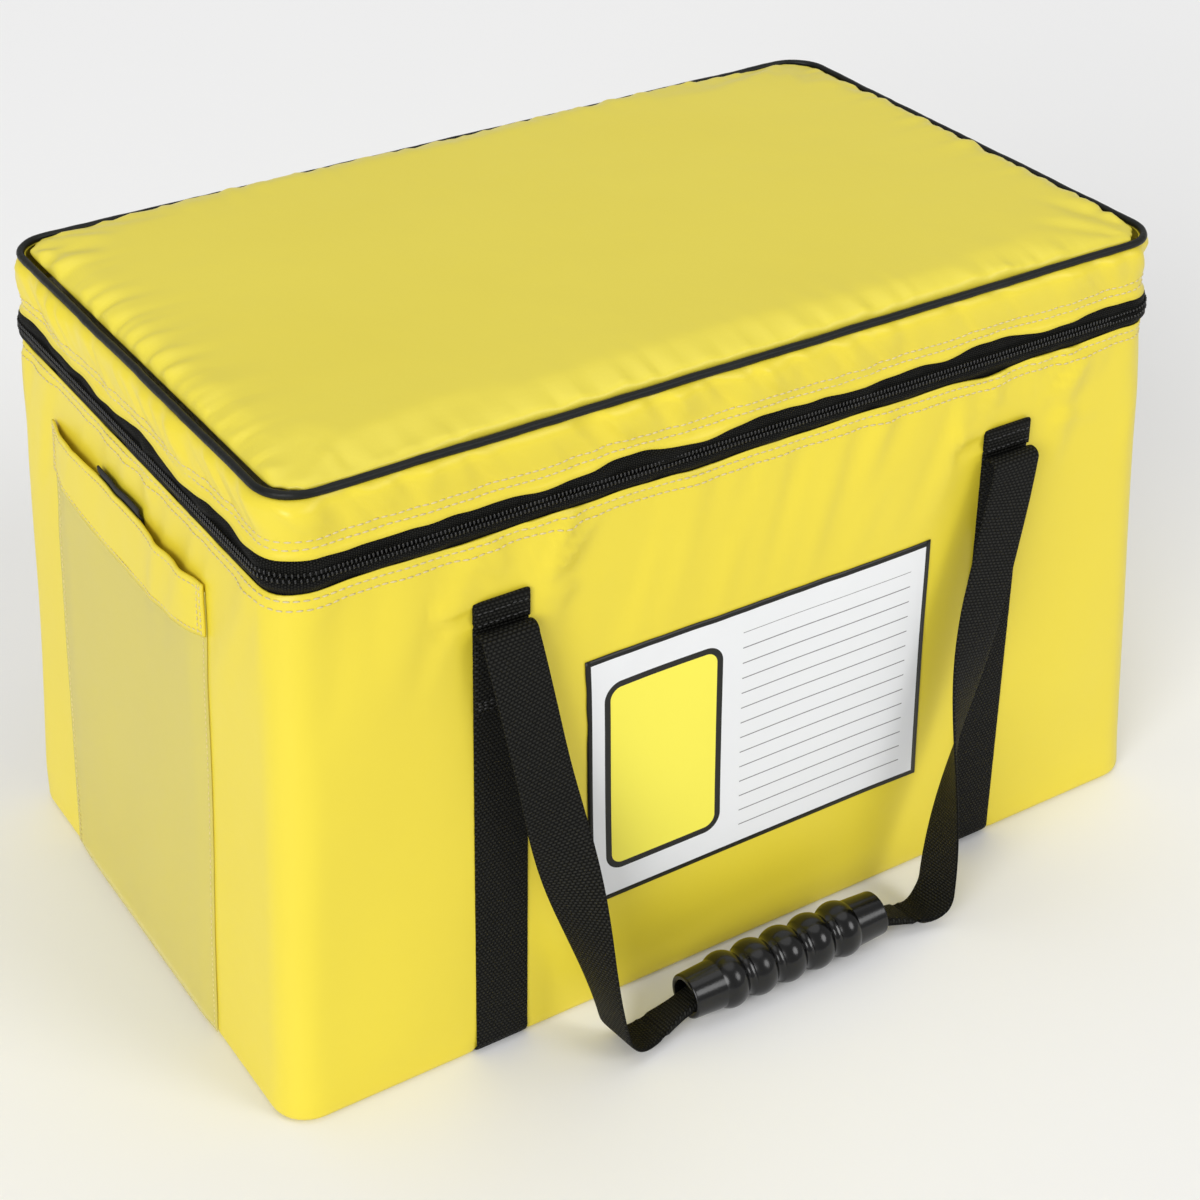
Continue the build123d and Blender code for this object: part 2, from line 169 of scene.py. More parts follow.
def stretch(value, half, half_here):
    """A coordinate at the floor taken to a height where the outline is shorter; corners keep their size."""
    inner = half - corner
    if abs(value) <= inner:
        return value * (half_here - corner) / inner
    return value + (half_here - half) * math.copysign(1, value)


def spot(share, z, out=0.0):
    """A point on the outline at a height, moved outwards."""
    at, facing = around(share)
    x = stretch(at.x, base_length / 2, half_length(z)) + facing.x * out
    y = stretch(at.y, base_width / 2, half_width(z)) + facing.y * out
    return Vector((x, y, z))


left_middle = straight[0] / 2 + math.pi * corner / 2 + straight[1] / 2
front_middle = girth / 2
zip_start = straight[0] / 2 + math.radians(40) * corner
zip_stop = girth - zip_start


def next_row(bm, edges):
    """Extrudes a row of edges once and gives the new vertices and edges."""
    made = bmesh.ops.extrude_edge_only(bm, edges=edges)["geom"]
    verts = [g for g in made if isinstance(g, bmesh.types.BMVert)]
    known = set(verts)
    edges = [g for g in made if isinstance(g, bmesh.types.BMEdge)
             and g.verts[0] in known and g.verts[1] in known]
    return verts, edges


def loops(bm, rows, columns, start=0.0, stop=None):
    """Rows of (height, outset) as loops of edges round the bag, or as open runs between two places.
    Each vertex keeps its run round the bag and its distance across the rows."""
    along = bm.verts.layers.float.new("along")
    across = bm.verts.layers.float.new("across")
    closed = stop is None
    shares = [n / columns for n in range(columns)]
    if not closed:
        shares = [(start + (stop - start) * n / columns) / girth for n in range(columns + 1)]
    first = [bm.verts.new(spot(share, *rows[0])) for share in shares]
    for share, v in zip(shares, first):
        v[along] = share * girth
    edges = [bm.edges.new(pair) for pair in zip(first, first[1:])]
    if closed:
        edges.append(bm.edges.new((first[-1], first[0])))
    places = [first]
    gone = 0.0
    for before, (z, out) in zip(rows, rows[1:]):
        gone += math.hypot(z - before[0], out - before[1])
        verts, edges = next_row(bm, edges)
        for v in verts:
            v.co = spot(v[along] / girth, z, out)
            v[across] = gone
        places.append(verts)
    return places, edges


def rows_inwards(bm, places, edges, count):
    """Adds rows that the caller lays out between the last loop and the middle; gives the last edges."""
    for _ in range(count):
        verts, edges = next_row(bm, edges)
        places.append(verts)
    return edges


# Materials

def new_material(name):
    mat = bpy.data.materials.new(name)
    mat.use_nodes = True
    return mat, mat.node_tree, mat.node_tree.nodes["Principled BSDF"]


def link(tree, source, target):
    tree.links.new(source, target)


def math_node(tree, operation, a, b=None):
    node = tree.nodes.new("ShaderNodeMath")
    node.operation = operation
    for socket, value in zip(node.inputs, (a, b)):
        if value is None:
            continue
        if isinstance(value, (int, float)):
            socket.default_value = value
        else:
            link(tree, value, socket)
    return node.outputs[0]


def mix_colours(tree, factor, under, over):
    """Blends two colours, each a plain value or another node's output."""
    mix = tree.nodes.new("ShaderNodeMix")
    mix.data_type = "RGBA"
    link(tree, factor, mix.inputs["Factor"])
    for socket, colour in ((mix.inputs[6], under), (mix.inputs[7], over)):
        if isinstance(colour, tuple):
            socket.default_value = colour
        else:
            link(tree, colour, socket)
    return mix.outputs[2]


def group_start(name, inputs, outputs):
    tree = bpy.data.node_groups.new(name, "ShaderNodeTree")
    for label, kind, value in inputs:
        socket = tree.interface.new_socket(label, in_out="INPUT", socket_type=kind)
        if value is not None:
            socket.default_value = value
    for label, kind in outputs:
        tree.interface.new_socket(label, in_out="OUTPUT", socket_type=kind)
    return tree, tree.nodes.new("NodeGroupInput"), tree.nodes.new("NodeGroupOutput")


def mottle_group():
    """Slow and fast unevenness of a dyed or coated surface: a tinted colour and a roughness."""
    tree, inside, outside = group_start(
        "mottle",
        [("Vector", "NodeSocketVector", None), ("Colour", "NodeSocketColor", (0.8, 0.8, 0.8, 1)),
         ("Shade", "NodeSocketColor", (0.5, 0.5, 0.5, 1)), ("Size", "NodeSocketFloat", 12.0),
         ("Roughness", "NodeSocketFloat", 0.5), ("Spread", "NodeSocketFloat", 0.08)],
        [("Colour", "NodeSocketColor"), ("Roughness", "NodeSocketFloat")],
    )
    cloud = tree.nodes.new("ShaderNodeTexNoise")
    cloud.inputs["Detail"].default_value = 6.0
    link(tree, inside.outputs["Vector"], cloud.inputs["Vector"])
    link(tree, inside.outputs["Size"], cloud.inputs["Scale"])
    tinted = mix_colours(tree, cloud.outputs["Fac"], inside.outputs["Colour"], inside.outputs["Shade"])
    link(tree, tinted, outside.inputs["Colour"])
    swing = math_node(tree, "SUBTRACT", cloud.outputs["Fac"], 0.5)
    swing = math_node(tree, "MULTIPLY", swing, inside.outputs["Spread"])
    rough = math_node(tree, "ADD", swing, inside.outputs["Roughness"])
    link(tree, rough, outside.inputs["Roughness"])
    return tree


def weave_group():
    """Plain weave as a height: warp and weft threads crossing over and under each other."""
    tree, inside, outside = group_start(
        "weave",
        [("Along", "NodeSocketFloat", 0.0), ("Across", "NodeSocketFloat", 0.0),
         ("Rib", "NodeSocketFloat", 0.0016), ("Thread", "NodeSocketFloat", 0.001)],
        [("Height", "NodeSocketFloat"), ("Hollow", "NodeSocketFloat")],
    )
    rib = math_node(tree, "DIVIDE", inside.outputs["Along"], inside.outputs["Rib"])
    thread = math_node(tree, "DIVIDE", inside.outputs["Across"], inside.outputs["Thread"])
    step = math_node(tree, "FLOOR", rib)
    odd = math_node(tree, "MULTIPLY", math_node(tree, "MODULO", step, 2.0), 0.5)

    def crowns(count):
        """A row of round thread backs, one for each whole number."""
        swing = math_node(tree, "SINE", math_node(tree, "MULTIPLY", count, math.pi))
        return math_node(tree, "POWER", math_node(tree, "ABSOLUTE", swing), 0.6)

    height = math_node(tree, "MULTIPLY", crowns(rib), crowns(math_node(tree, "ADD", thread, odd)))
    link(tree, height, outside.inputs["Height"])
    hollow = math_node(tree, "SUBTRACT", 1.0, height)
    link(tree, hollow, outside.inputs["Hollow"])
    return tree


mottle = mottle_group()
weave = weave_group()


def add_group(tree, group, **values):
    node = tree.nodes.new("ShaderNodeGroup")
    node.node_tree = group
    for name, value in values.items():
        if isinstance(value, bpy.types.NodeSocket):
            link(tree, value, node.inputs[name])
        else:
            node.inputs[name].default_value = value
    return node


def object_coords(tree):
    return tree.nodes.new("ShaderNodeTexCoord").outputs["Object"]


def uneven_colour(tree, shader, colour, shade, size, roughness, spread):
    """Colour and roughness that drift between two values over the surface."""
    tint = add_group(tree, mottle, Vector=object_coords(tree), Colour=colour, Shade=shade,
                     Size=size, Roughness=roughness, Spread=spread)
    link(tree, tint.outputs["Colour"], shader.inputs["Base Color"])
    link(tree, tint.outputs["Roughness"], shader.inputs["Roughness"])


def attribute(tree, name):
    node = tree.nodes.new("ShaderNodeAttribute")
    node.attribute_name = name
    return node.outputs["Fac"]


def raise_bump(tree, shader, height, distance, strength=1.0, under=None):
    bump = tree.nodes.new("ShaderNodeBump")
    bump.inputs["Distance"].default_value = distance
    bump.inputs["Strength"].default_value = strength
    link(tree, height, bump.inputs["Height"])
    if under is not None:
        link(tree, under, bump.inputs["Normal"])
    link(tree, bump.outputs["Normal"], shader.inputs["Normal"])
    return bump.outputs["Normal"]


def noise_height(tree, size, detail=3.0):
    node = tree.nodes.new("ShaderNodeTexNoise")
    node.inputs["Scale"].default_value = size
    node.inputs["Detail"].default_value = detail
    link(tree, object_coords(tree), node.inputs["Vector"])
    return node.outputs["Fac"]


def coated_fabric(name, colour, shade, roughness, coat=0.15):
    """Polyester cloth under a soft coating: creased slightly, with its weave just showing."""
    mat, tree, shader = new_material(name)
    uneven_colour(tree, shader, colour, shade, 9.0, roughness, 0.10)
    shader.inputs["Coat Weight"].default_value = coat
    shader.inputs["Coat Roughness"].default_value = 0.35
    shader.inputs["Specular IOR Level"].default_value = 0.4
    split = tree.nodes.new("ShaderNodeSeparateXYZ")
    link(tree, object_coords(tree), split.inputs[0])
    flat = math_node(tree, "ADD", split.outputs["X"], split.outputs["Y"])
    cloth = add_group(tree, weave, Along=split.outputs["Z"], Across=flat, Rib=0.0007, Thread=0.0007)
    fine = raise_bump(tree, shader, cloth.outputs["Height"], 0.00004, 0.35)
    raise_bump(tree, shader, noise_height(tree, 38.0, 4.0), 0.0012, 0.35, under=fine)
    return mat


def webbing_cloth(name, colour, light, rib, thread, depth):
    """Woven polyester webbing: ribs across the length, with a painted highlight, a paler colour, on the
    thread crowns.
    """
    mat, tree, shader = new_material(name)
    cloth = add_group(tree, weave, Along=attribute(tree, "along"), Across=attribute(tree, "across"),
                      Rib=rib, Thread=thread)
    crown = math_node(tree, "POWER", cloth.outputs["Height"], 2.0)
    # painted highlight: the crowns take the light colour, more or less by noise
    painted_crown_highlight = math_node(tree, "MULTIPLY", crown, math_node(tree, "ADD", noise_height(tree, 500.0), 0.35))
    link(tree, mix_colours(tree, painted_crown_highlight, colour, light), shader.inputs["Base Color"])
    shader.inputs["Roughness"].default_value = 0.55
    shader.inputs["Specular IOR Level"].default_value = 0.08
    raise_bump(tree, shader, cloth.outputs["Height"], depth, 1.0)
    return mat


def plain_finish(name, colour, shade, roughness, size, grain, depth, metallic=0.0, specular=0.5):
    """An even finish: size is the scale of its drift in colour, grain that of its fine relief."""
    mat, tree, shader = new_material(name)
    uneven_colour(tree, shader, colour, shade, size, roughness, 0.12)
    shader.inputs["Metallic"].default_value = metallic
    shader.inputs["Specular IOR Level"].default_value = specular
    raise_bump(tree, shader, noise_height(tree, grain), depth, 0.6)
    return mat


yellow = coated_fabric("yellow coated fabric", (0.80, 0.660, 0.042, 1), (0.765, 0.615, 0.036, 1), 0.42)
# The lid's yellow is a less saturated copy of the body's: painted sheen for the pale haze that the top
# reflects.
lid_yellow_painted_sheen = coated_fabric("yellow lid fabric with painted sheen", (0.80, 0.680, 0.065, 1), (0.765, 0.640, 0.055, 1), 0.40)
# Each webbing's second colour is the painted highlight on its thread crowns.
strap_cloth = webbing_cloth("strap webbing", (0.0030, 0.0030, 0.0026, 1), (0.026, 0.026, 0.022, 1),
                            0.0018, 0.0022, 0.0007)
web_cloth = webbing_cloth("handle webbing", (0.0030, 0.0030, 0.0026, 1), (0.030, 0.030, 0.026, 1),
                          0.0017, 0.0026, 0.0007)
tape_cloth = webbing_cloth("zip tape", (0.0022, 0.0022, 0.0020, 1), (0.020, 0.020, 0.017, 1),
                           0.0013, 0.0013, 0.0005)
coil_finish = plain_finish("zip coil", (0.004, 0.004, 0.004, 1), (0.009, 0.009, 0.009, 1), 0.24,
                           300.0, 2000.0, 0.00002, specular=0.55)
piping_cloth = plain_finish("piping cloth", (0.004, 0.005, 0.004, 1), (0.013, 0.014, 0.012, 1), 0.42,
                            60.0, 420.0, 0.0004, specular=0.20)
grip_finish = plain_finish("moulded grip", (0.0016, 0.0016, 0.0016, 1), (0.0035, 0.0035, 0.0035, 1), 0.20,
                           40.0, 900.0, 0.00003, specular=0.45)
thread_finish = plain_finish("pale thread", (0.60, 0.50, 0.24, 1), (0.74, 0.64, 0.36, 1), 0.6,
                             500.0, 3000.0, 0.00005)
black_thread = plain_finish("black thread", (0.01, 0.01, 0.01, 1), (0.05, 0.05, 0.05, 1), 0.5,
                            800.0, 3000.0, 0.00005)
liner_finish = plain_finish("white liner", (0.80, 0.80, 0.77, 1), (0.74, 0.74, 0.71, 1), 0.38,
                            14.0, 120.0, 0.0003)
foam_finish = plain_finish("closed cell foam", (0.75, 0.75, 0.74, 1), (0.66, 0.66, 0.65, 1), 0.85,
                           200.0, 1400.0, 0.0004)
board_finish = plain_finish("board", (0.6, 0.6, 0.58, 1), (0.55, 0.55, 0.53, 1), 0.5,
                            60.0, 700.0, 0.0001)
metal_finish = plain_finish("black lacquer", (0.012, 0.012, 0.012, 1), (0.02, 0.02, 0.02, 1), 0.25,
                            120.0, 900.0, 0.00002, specular=0.7)
hook_finish = plain_finish("hook and loop pile", (0.006, 0.006, 0.006, 1), (0.03, 0.03, 0.03, 1), 0.9,
                           900.0, 1500.0, 0.0010)


def film_material():
    """Frosted soft film: half see-through, yellow from the fabric behind it."""
    mat, tree, shader = new_material("frosted film")
    uneven_colour(tree, shader, (0.86, 0.77, 0.17, 1), (0.82, 0.73, 0.16, 1), 7.0, 0.36, 0.1)
    shader.inputs["Alpha"].default_value = 0.50
    shader.inputs["Coat Weight"].default_value = 0.3
    shader.inputs["Coat Roughness"].default_value = 0.2
    raise_bump(tree, shader, noise_height(tree, 16.0), 0.002, 0.4)
    return mat


film = film_material()


def label_material():
    """A blank printed form: black border, an empty rounded field and ruled lines."""
    mat, tree, shader = new_material("printed form")
    split = tree.nodes.new("ShaderNodeSeparateXYZ")
    link(tree, object_coords(tree), split.inputs[0])
    x, z = split.outputs["X"], split.outputs["Z"]

    def inside(value, low, high):
        above = math_node(tree, "GREATER_THAN", value, low)
        below = math_node(tree, "LESS_THAN", value, high)
        return math_node(tree, "MULTIPLY", above, below)

    def box(x0, x1, z0, z1):
        return math_node(tree, "MULTIPLY", inside(x, x0, x1), inside(z, z0, z1))

    def past(value, low, high, radius):
        """Square of how far a coordinate is past the straight part of a rounded side."""
        centred = math_node(tree, "ABSOLUTE", math_node(tree, "SUBTRACT", value, (low + high) / 2))
        beyond = math_node(tree, "SUBTRACT", centred, (high - low) / 2 - radius)
        return math_node(tree, "POWER", math_node(tree, "MAXIMUM", beyond, 0.0), 2.0)

    def rounded(x0, x1, z0, z1, radius):
        squares = math_node(tree, "ADD", past(x, x0, x1, radius), past(z, z0, z1, radius))
        return math_node(tree, "LESS_THAN", math_node(tree, "SQRT", squares), radius)

    ink, paper = (0.008, 0.008, 0.006, 1), (0.78, 0.79, 0.80, 1)
    field_yellow, rule_grey = (0.90, 0.81, 0.085, 1), (0.22, 0.22, 0.22, 1)
    white_part, ruled_part = (-0.0992, 0.1052, 0.0678, 0.2098), (-0.010, 0.096, 0.0765, 0.198)
    field_border, field = (-0.092, -0.022, 0.082, 0.196, 0.010), (-0.0885, -0.0255, 0.0855, 0.1925, 0.0065)
    first_rule, rule_pitch, rule_share = 0.078, 0.0092, 0.07
    colour = mix_colours(tree, box(*white_part), ink, paper)
    colour = mix_colours(tree, rounded(*field_border), colour, ink)
    colour = mix_colours(tree, rounded(*field), colour, field_yellow)
    level = math_node(tree, "DIVIDE", math_node(tree, "SUBTRACT", z, first_rule), rule_pitch)
    rule = math_node(tree, "LESS_THAN", math_node(tree, "FRACT", level), rule_share)
    lines = math_node(tree, "MULTIPLY", rule, box(*ruled_part))
    colour = mix_colours(tree, lines, colour, rule_grey)
    link(tree, colour, shader.inputs["Base Color"])
    haze = add_group(tree, mottle, Vector=object_coords(tree), Colour=(1, 1, 1, 1), Shade=(1, 1, 1, 1),
                     Size=20.0, Roughness=0.34, Spread=0.1)
    link(tree, haze.outputs["Roughness"], shader.inputs["Roughness"])
    shader.inputs["Specular IOR Level"].default_value = 0.3
    raise_bump(tree, shader, noise_height(tree, 60.0), 0.0004, 0.4)
    return mat


form = label_material()


# Body: the coated fabric skin, drawn in by the straps and puckered below the zip

def strap_x(side, z):
    """Where a strap's middle line is along the front at a height."""
    foot, head = straps[side]
    if z < strap_straight:
        return foot
    return foot + (head - foot) * (z - strap_straight) / (strap_top - strap_straight)


body_hem_seed, lid_hem_seed = 11.0, 12.0


def hem_wave(run, seed):
    """Uneven edge where the fabric is turned in along the zip."""
    return 0.0034 * wave(run * 21, 0.0, seed) + 0.0007 * wave(run * 62, 0.0, seed + 3)


def near_strap(point):
    """How close a point is to a strap on the front or back, from 0 to 1."""
    return max(bump_at(point.x, strap_x(side, point.z), 0.021) for side in straps)


def strap_fan(aside, above):
    """Folds that fan out from a strap's tab, by the distance from the top of its middle line."""
    across, rise = aside - 0.013, above + 0.002
    if rise <= -0.012 or aside <= -0.035:
        return 0.0
    far = math.hypot(across, rise)
    fan = wave(4.4 * math.atan2(rise, across), far * 8, 91.0)
    return 0.0048 * fan * smooth(0.003, 0.016, far) * (1 - smooth(0.022, 0.085, far))


def drape(run, z, at):
    """How far the skin stands out from its leaning wall at a place."""
    below = zip_low - z
    seam = smooth(0.0, 0.010, below) * (1 - smooth(0.018, 0.105, below))
    slant = run + below * (0.35 + 0.5 * wave(run * 7, 0.0, 7.0))
    crease = 0.5 - abs(wave(slant * 24, below * 6, 3.0))
    pucker = 0.0036 * wave(slant * 27, below * 5, 1.0) + 0.0024 * wave(slant * 58, below * 10, 2.0)
    pucker += 0.0020 * (crease - 0.25)
    slack = smooth(0.0, 0.03, z) * smooth(0.0, 0.04, below)
    broad = 0.0028 * wave(run * 6.5, z * 7.0, 4.0) + 0.0014 * wave(run * 15, z * 10, 5.0)
    out = seam * pucker * 1.3 + slack * broad
    if abs(at.y) > half_width(z) - face_reach:
        out += sum(strap_fan(at.x - strap_x(side, z), z - strap_top) for side in straps)
        held_low = near_strap(Vector((at.x, at.y, min(z, strap_top))))
        hold = held_low * (1 - smooth(strap_top, strap_top + 0.02, z))
        out = out * (1 - hold) - 0.0002 * hold
    in_corner = abs(at.y) < half_width(z) - 0.001 and abs(at.x) < half_length(z) - 0.001
    return lie_on(out * (0.45 if in_corner else 1.0), -0.0006)


def lie_on(out, floor):
    """Cloth resting on foam: it can rise freely but is stopped softly below."""
    soft = 0.0005
    return floor + 0.5 * (out - floor + math.sqrt((out - floor) ** 2 + soft ** 2))


def skin_point(run, z, extra=0.0):
    """A point on the draped skin, a run round the bag from the middle of the back."""
    base = spot(run / girth, z)
    return spot(run / girth, z, drape(run, z, base) + extra)


def wall_point(x, z, extra=0.0):
    """A point on the draped front wall."""
    share = (front_middle + x * (straight[0] / 2) / (half_length(z) - corner)) / girth
    return skin_point(share * girth, z, extra)


def end_point(y, z, extra=0.0):
    """A point on the draped left end wall."""
    share = (left_middle - y * (straight[1] / 2) / (half_width(z) - corner)) / girth
    return skin_point(share * girth, z, extra)


# The zip tape as (distance past the fabric's edge, outset), from its sewn edge to the teeth
tape_profile = [(-0.005, -0.0016), (-0.0018, -0.0010), (0.0002, 0.0004), (0.0016, 0.0014), (0.0030, 0.0020),
                (0.0044, 0.0019), (0.0056, 0.0014), (0.0066, 0.0019), (0.0075, 0.0017), (0.0078, 0.0008)]


def over_tape(rise):
    """Outset of a hem lying on the zip tape, so far past the fabric's edge."""
    for (low, before), (high, after) in zip(tape_profile, tape_profile[1:]):
        if low <= rise <= high:
            return before + (after - before) * (rise - low) / (high - low) + 0.0009
    return -1.0


def pressed_in(here, z):
    """The skin's edge at the floor, pressed in where a strap runs round it."""
    under = max(1 - smooth(0.0150, 0.0175, abs(here.x - foot)) for foot, _ in straps.values())
    if z >= strap_straight or under <= 0 or abs(here.y) <= half_width(0) - 0.03:
        return here
    inside = 0.012
    centre = Vector((here.x, math.copysign(half_width(0) - inside, here.y), inside))
    ease = 1 - smooth(0.006, strap_straight, z)
    return here + (centre - here).normalized() * 0.0016 * under * ease


def shell():
    """The four walls, rolled under the base and turned in along the zip, with the base between them."""
    bm = bmesh.new()
    edge, base_z = 0.005, 0.0017
    rows = [(base_z, -0.016), (base_z, -0.0125), (0.0, -0.0115), (0.0, -edge - 0.002)]
    rows += [(edge - edge * math.cos(a), -edge + edge * math.sin(a))
             for a in (math.radians(15 * n) for n in range(7))]
    steps = 72
    rows += [(edge + (zip_low - edge) * n / steps, 0.0) for n in range(1, steps + 1)]
    rows += [(zip_low + 0.0002, -0.0006), (zip_low - 0.001, -0.0011)]
    places, _ = loops(bm, rows, 460)
    along = bm.verts.layers.float["along"]
    bm.faces.new(places[0])
    for verts, (z, out) in zip(places, rows):
        near_zip = z > 0.2
        for v in verts:
            run = v[along]
            lift = (hem_wave(run, body_hem_seed) - 0.0010) * smooth(0.286, zip_low, z)
            lain = over_tape(z + lift - zip_low) if near_zip else -1.0
            if out == 0.0:
                here = spot(run / girth, z + lift, max(drape(run, z, v.co), lain))
            else:
                here = spot(run / girth, z + lift, max(out, lain - 0.0005) if near_zip else out)
            v.co = pressed_in(here, z)
    bmesh.ops.recalc_face_normals(bm, faces=bm.faces)
    piece("body_skin", bm, "bag_body", yellow, "outer_shell", "base_panel", slot="yellow_fabric")


# Zip: woven tapes, interlocking teeth, and double rows of stitching on both sides

def zip_tapes():
    """Both tapes, mirrored about the zip's middle and buckled slightly where nothing holds them."""
    for name, body, node, flip in (("body_tape", "bag_body", "body_zip_tape", 1),
                                   ("lid_tape", "lid", "lid_zip_tape", -1)):
        rows = [(zip_mid + flip * (zip_low + rise - zip_mid), out) for rise, out in tape_profile]
        bm = bmesh.new()
        places, _ = loops(bm, rows, 640, zip_start, zip_stop)
        along = bm.verts.layers.float["along"]
        for verts, (z, out) in zip(places, rows):
            for v in verts:
                run = v[along]
                buckle = 0.0018 * wave(run * 44, z * 60, 21.0 + flip)
                buckle += 0.0006 * wave(run * 110, z * 90, 24.0)
                v.co = spot(run / girth, z, out + smooth(-0.0010, 0.0014, out) * buckle)
        bmesh.ops.recalc_face_normals(bm, faces=bm.faces)
        obj = piece(name, bm, body, tape_cloth, node, slot="zip_tape")
        thicken(obj, 0.0005)


def along_frame(run, z, out):
    """A matrix at a place round the bag: x along it, y inwards, z up."""
    here = spot(run / girth, z, out)
    ahead = (spot((run + 0.0005) / girth, z, out) - here).normalized()
    up = Vector((0, 0, 1))
    matrix = Matrix((ahead, up.cross(ahead), up)).transposed().to_4x4()
    matrix.translation = here
    return matrix


def teeth(name, body, node, flip):
    """One row of the zip's teeth. The lid's row is half a pitch on and leaves the slider's place free."""
    bm = bmesh.new()
    pitch, half_long, half_deep = 0.0023, 0.00065, 0.0007
    for n in range(int((zip_stop - zip_start) / pitch)):
        run = zip_start + pitch * (n + (0.5 if flip < 0 else 0.0))
        here = spot(run / girth, zip_mid)
        if flip < 0 and here.x > right_end and abs(here.y - slider_y) < slider_room:
            continue
        # shorter along the right end, where the slider's post runs between the two rows
        middle, half_tall = (0.0017, 0.0009) if here.x > right_end else (0.0014, 0.0015)
        place = along_frame(run, zip_mid - flip * middle, zip_bulge + 0.0013)
        shape = Matrix.Diagonal((half_long, half_deep, half_tall, 1))
        bmesh.ops.create_icosphere(bm, subdivisions=1, radius=1.0, matrix=place @ shape)
    piece(name, bm, body, coil_finish, node, slot="zip_coil")


def stitch(bm, run, point_at, length, thick):
    """One stitch lying on a surface."""
    a, b = point_at(run - length / 2), point_at(run + length / 2)
    ahead = (b - a).normalized()
    up = Vector((0, 0, 1))
    if abs(ahead.z) > 0.9:
        leaning = abs(ahead.x) + abs(ahead.y) > 0.01
        up = Vector((ahead.y, -ahead.x, 0)) if leaning else Vector((1, 0, 0))
    side = up.cross(ahead).normalized()
    up = ahead.cross(side)
    matrix = Matrix((ahead, side, up)).transposed().to_4x4()
    matrix.translation = (a + b) / 2
    shape = Matrix.Diagonal((length / 2, thick, thick, 1))
    bmesh.ops.create_icosphere(bm, subdivisions=1, radius=1.0, matrix=matrix @ shape)


def zip_stitching():
    """Double rows beside the zip, following the hems a little."""
    pitch, length, thick, lift = 0.0044, 0.0037, 0.00050, 0.00012
    for name, body, levels, hem_seed in (
        ("body_stitching", "bag_body", (zip_low - 0.0042, zip_low - 0.0088), body_hem_seed),
        ("lid_stitching", "lid", (zip_high + 0.0042, zip_high + 0.0088), lid_hem_seed),
    ):
        bm = bmesh.new()
        for k, level in enumerate(levels):
            for n in range(int(girth / pitch)):
                run = pitch * (n + 0.3 * k)

                def at(r, level=level):
                    z = level + 0.4 * hem_wave(r, hem_seed)
                    if body == "bag_body":
                        return skin_point(r, z, lift)
                    return spot(r / girth, z, band_out(r, z) + lift)

                stitch(bm, run, at, length, thick)
        piece(name, bm, body, thread_finish)


# Lid: side band, piping and padded panel

def band_out(run, z):
    """How far the lid's side stands out: it flares to the piping and is gathered below it."""
    flare = 0.003 * smooth(zip_high, 0.338, z) * (1 - smooth(0.339, 0.3436, z) * 0.75)
    slack = smooth(zip_high, zip_high + 0.006, z)
    slant = run + 0.35 * (z - zip_high)
    ripple = 0.0024 * wave(slant * 33, z * 20, 31.0) + 0.0012 * wave(slant * 76, z * 34, 32.0)
    steep = run + 0.9 * (z - band_top)
    fold = 0.0034 * wave(steep * 56, z * 12, 33.0) + 0.0014 * wave(steep * 130, z * 24, 34.0)
    fold += 0.0032 * (0.25 - abs(wave(steep * 47, z * 9, 35.0)))
    gather = fold * smooth(0.316, 0.336, z) * (1 - 0.6 * smooth(0.340, 0.3436, z))
    at = spot(run / girth, z)
    rise = ripple + gather
    if abs(at.y) > half_width(z) - face_reach and rise > 0:
        # a raised handle's web lies close beside the lid here
        rise *= 1 - 0.95 * smooth(0.052, 0.036, abs(abs(at.x) - raised_web_x))
    return flare + slack * rise


def lid_side():
    """The lid's side, turned in along the zip and under the piping."""
    bm = bmesh.new()
    rows = [(zip_high + 0.001, -0.0011), (zip_high - 0.0002, -0.0006)]
    rows += [(zip_high + (band_top - zip_high) * n / 16, 0.0) for n in range(17)]
    rows += [(band_top + 0.0008, -0.0012), (band_top + 0.0012, -0.0030)]
    places, _ = loops(bm, rows, 620)
    along = bm.verts.layers.float["along"]
    for verts, (z, out) in zip(places, rows):
        for v in verts:
            run = v[along]
            lift = (hem_wave(run, lid_hem_seed) - 0.0006) * (1 - smooth(zip_high, zip_high + 0.012, z))
            extra = out if out else band_out(run, z)
            lain = over_tape(zip_high - z - lift) - (0.0005 if out else 0.0)
            v.co = spot(run / girth, z + lift, max(extra, lain) if z < 0.33 else extra)
    bmesh.ops.recalc_face_normals(bm, faces=bm.faces)
    piece("lid_side", bm, "lid", yellow, "lid_band", slot="yellow_fabric")


def piping_line(run):
    """Height and outset of the piping's middle."""
    return piping_z + 0.0004 * wave(run * 26, 0.0, 41.0), -0.0003 + 0.0005 * wave(run * 20, 0.0, 42.0)


def piping():
    """A covered cord round the lid's edge, a little uneven in height, outset and thickness."""
    bm = bmesh.new()
    sides, slim = 12, 0.88
    rows = [(piping_z - piping_radius * math.sin(a), piping_radius * math.cos(a))
            for a in (2 * math.pi * n / sides for n in range(sides))]
    places, last = loops(bm, rows, 560)
    along = bm.verts.layers.float["along"]
    for verts, (z, out) in zip(places, rows):
        for v in verts:
            run = v[along]
            middle, side = piping_line(run)
            swell = slim + 0.10 * wave(run * 120, out * 400, 43.0)
            v.co = spot(run / girth, middle + (z - piping_z) * swell, side + out * swell)
    start = set(places[0])
    first = [e for e in bm.edges if e.verts[0] in start and e.verts[1] in start]
    bmesh.ops.bridge_loops(bm, edges=first + last)
    bmesh.ops.recalc_face_normals(bm, faces=bm.faces)
    piece("lid_edge_piping", bm, "lid", piping_cloth, "lid_piping", slot="piping")


def pad_height(x, y):
    """Height of the padded lid over its middle parts."""
    dome = (x * x + y * y) / (4 * crown_radius)
    return lid_crown + 0.0004 - dome + 0.0006 * wave(x * 7, y * 7, 51.0)


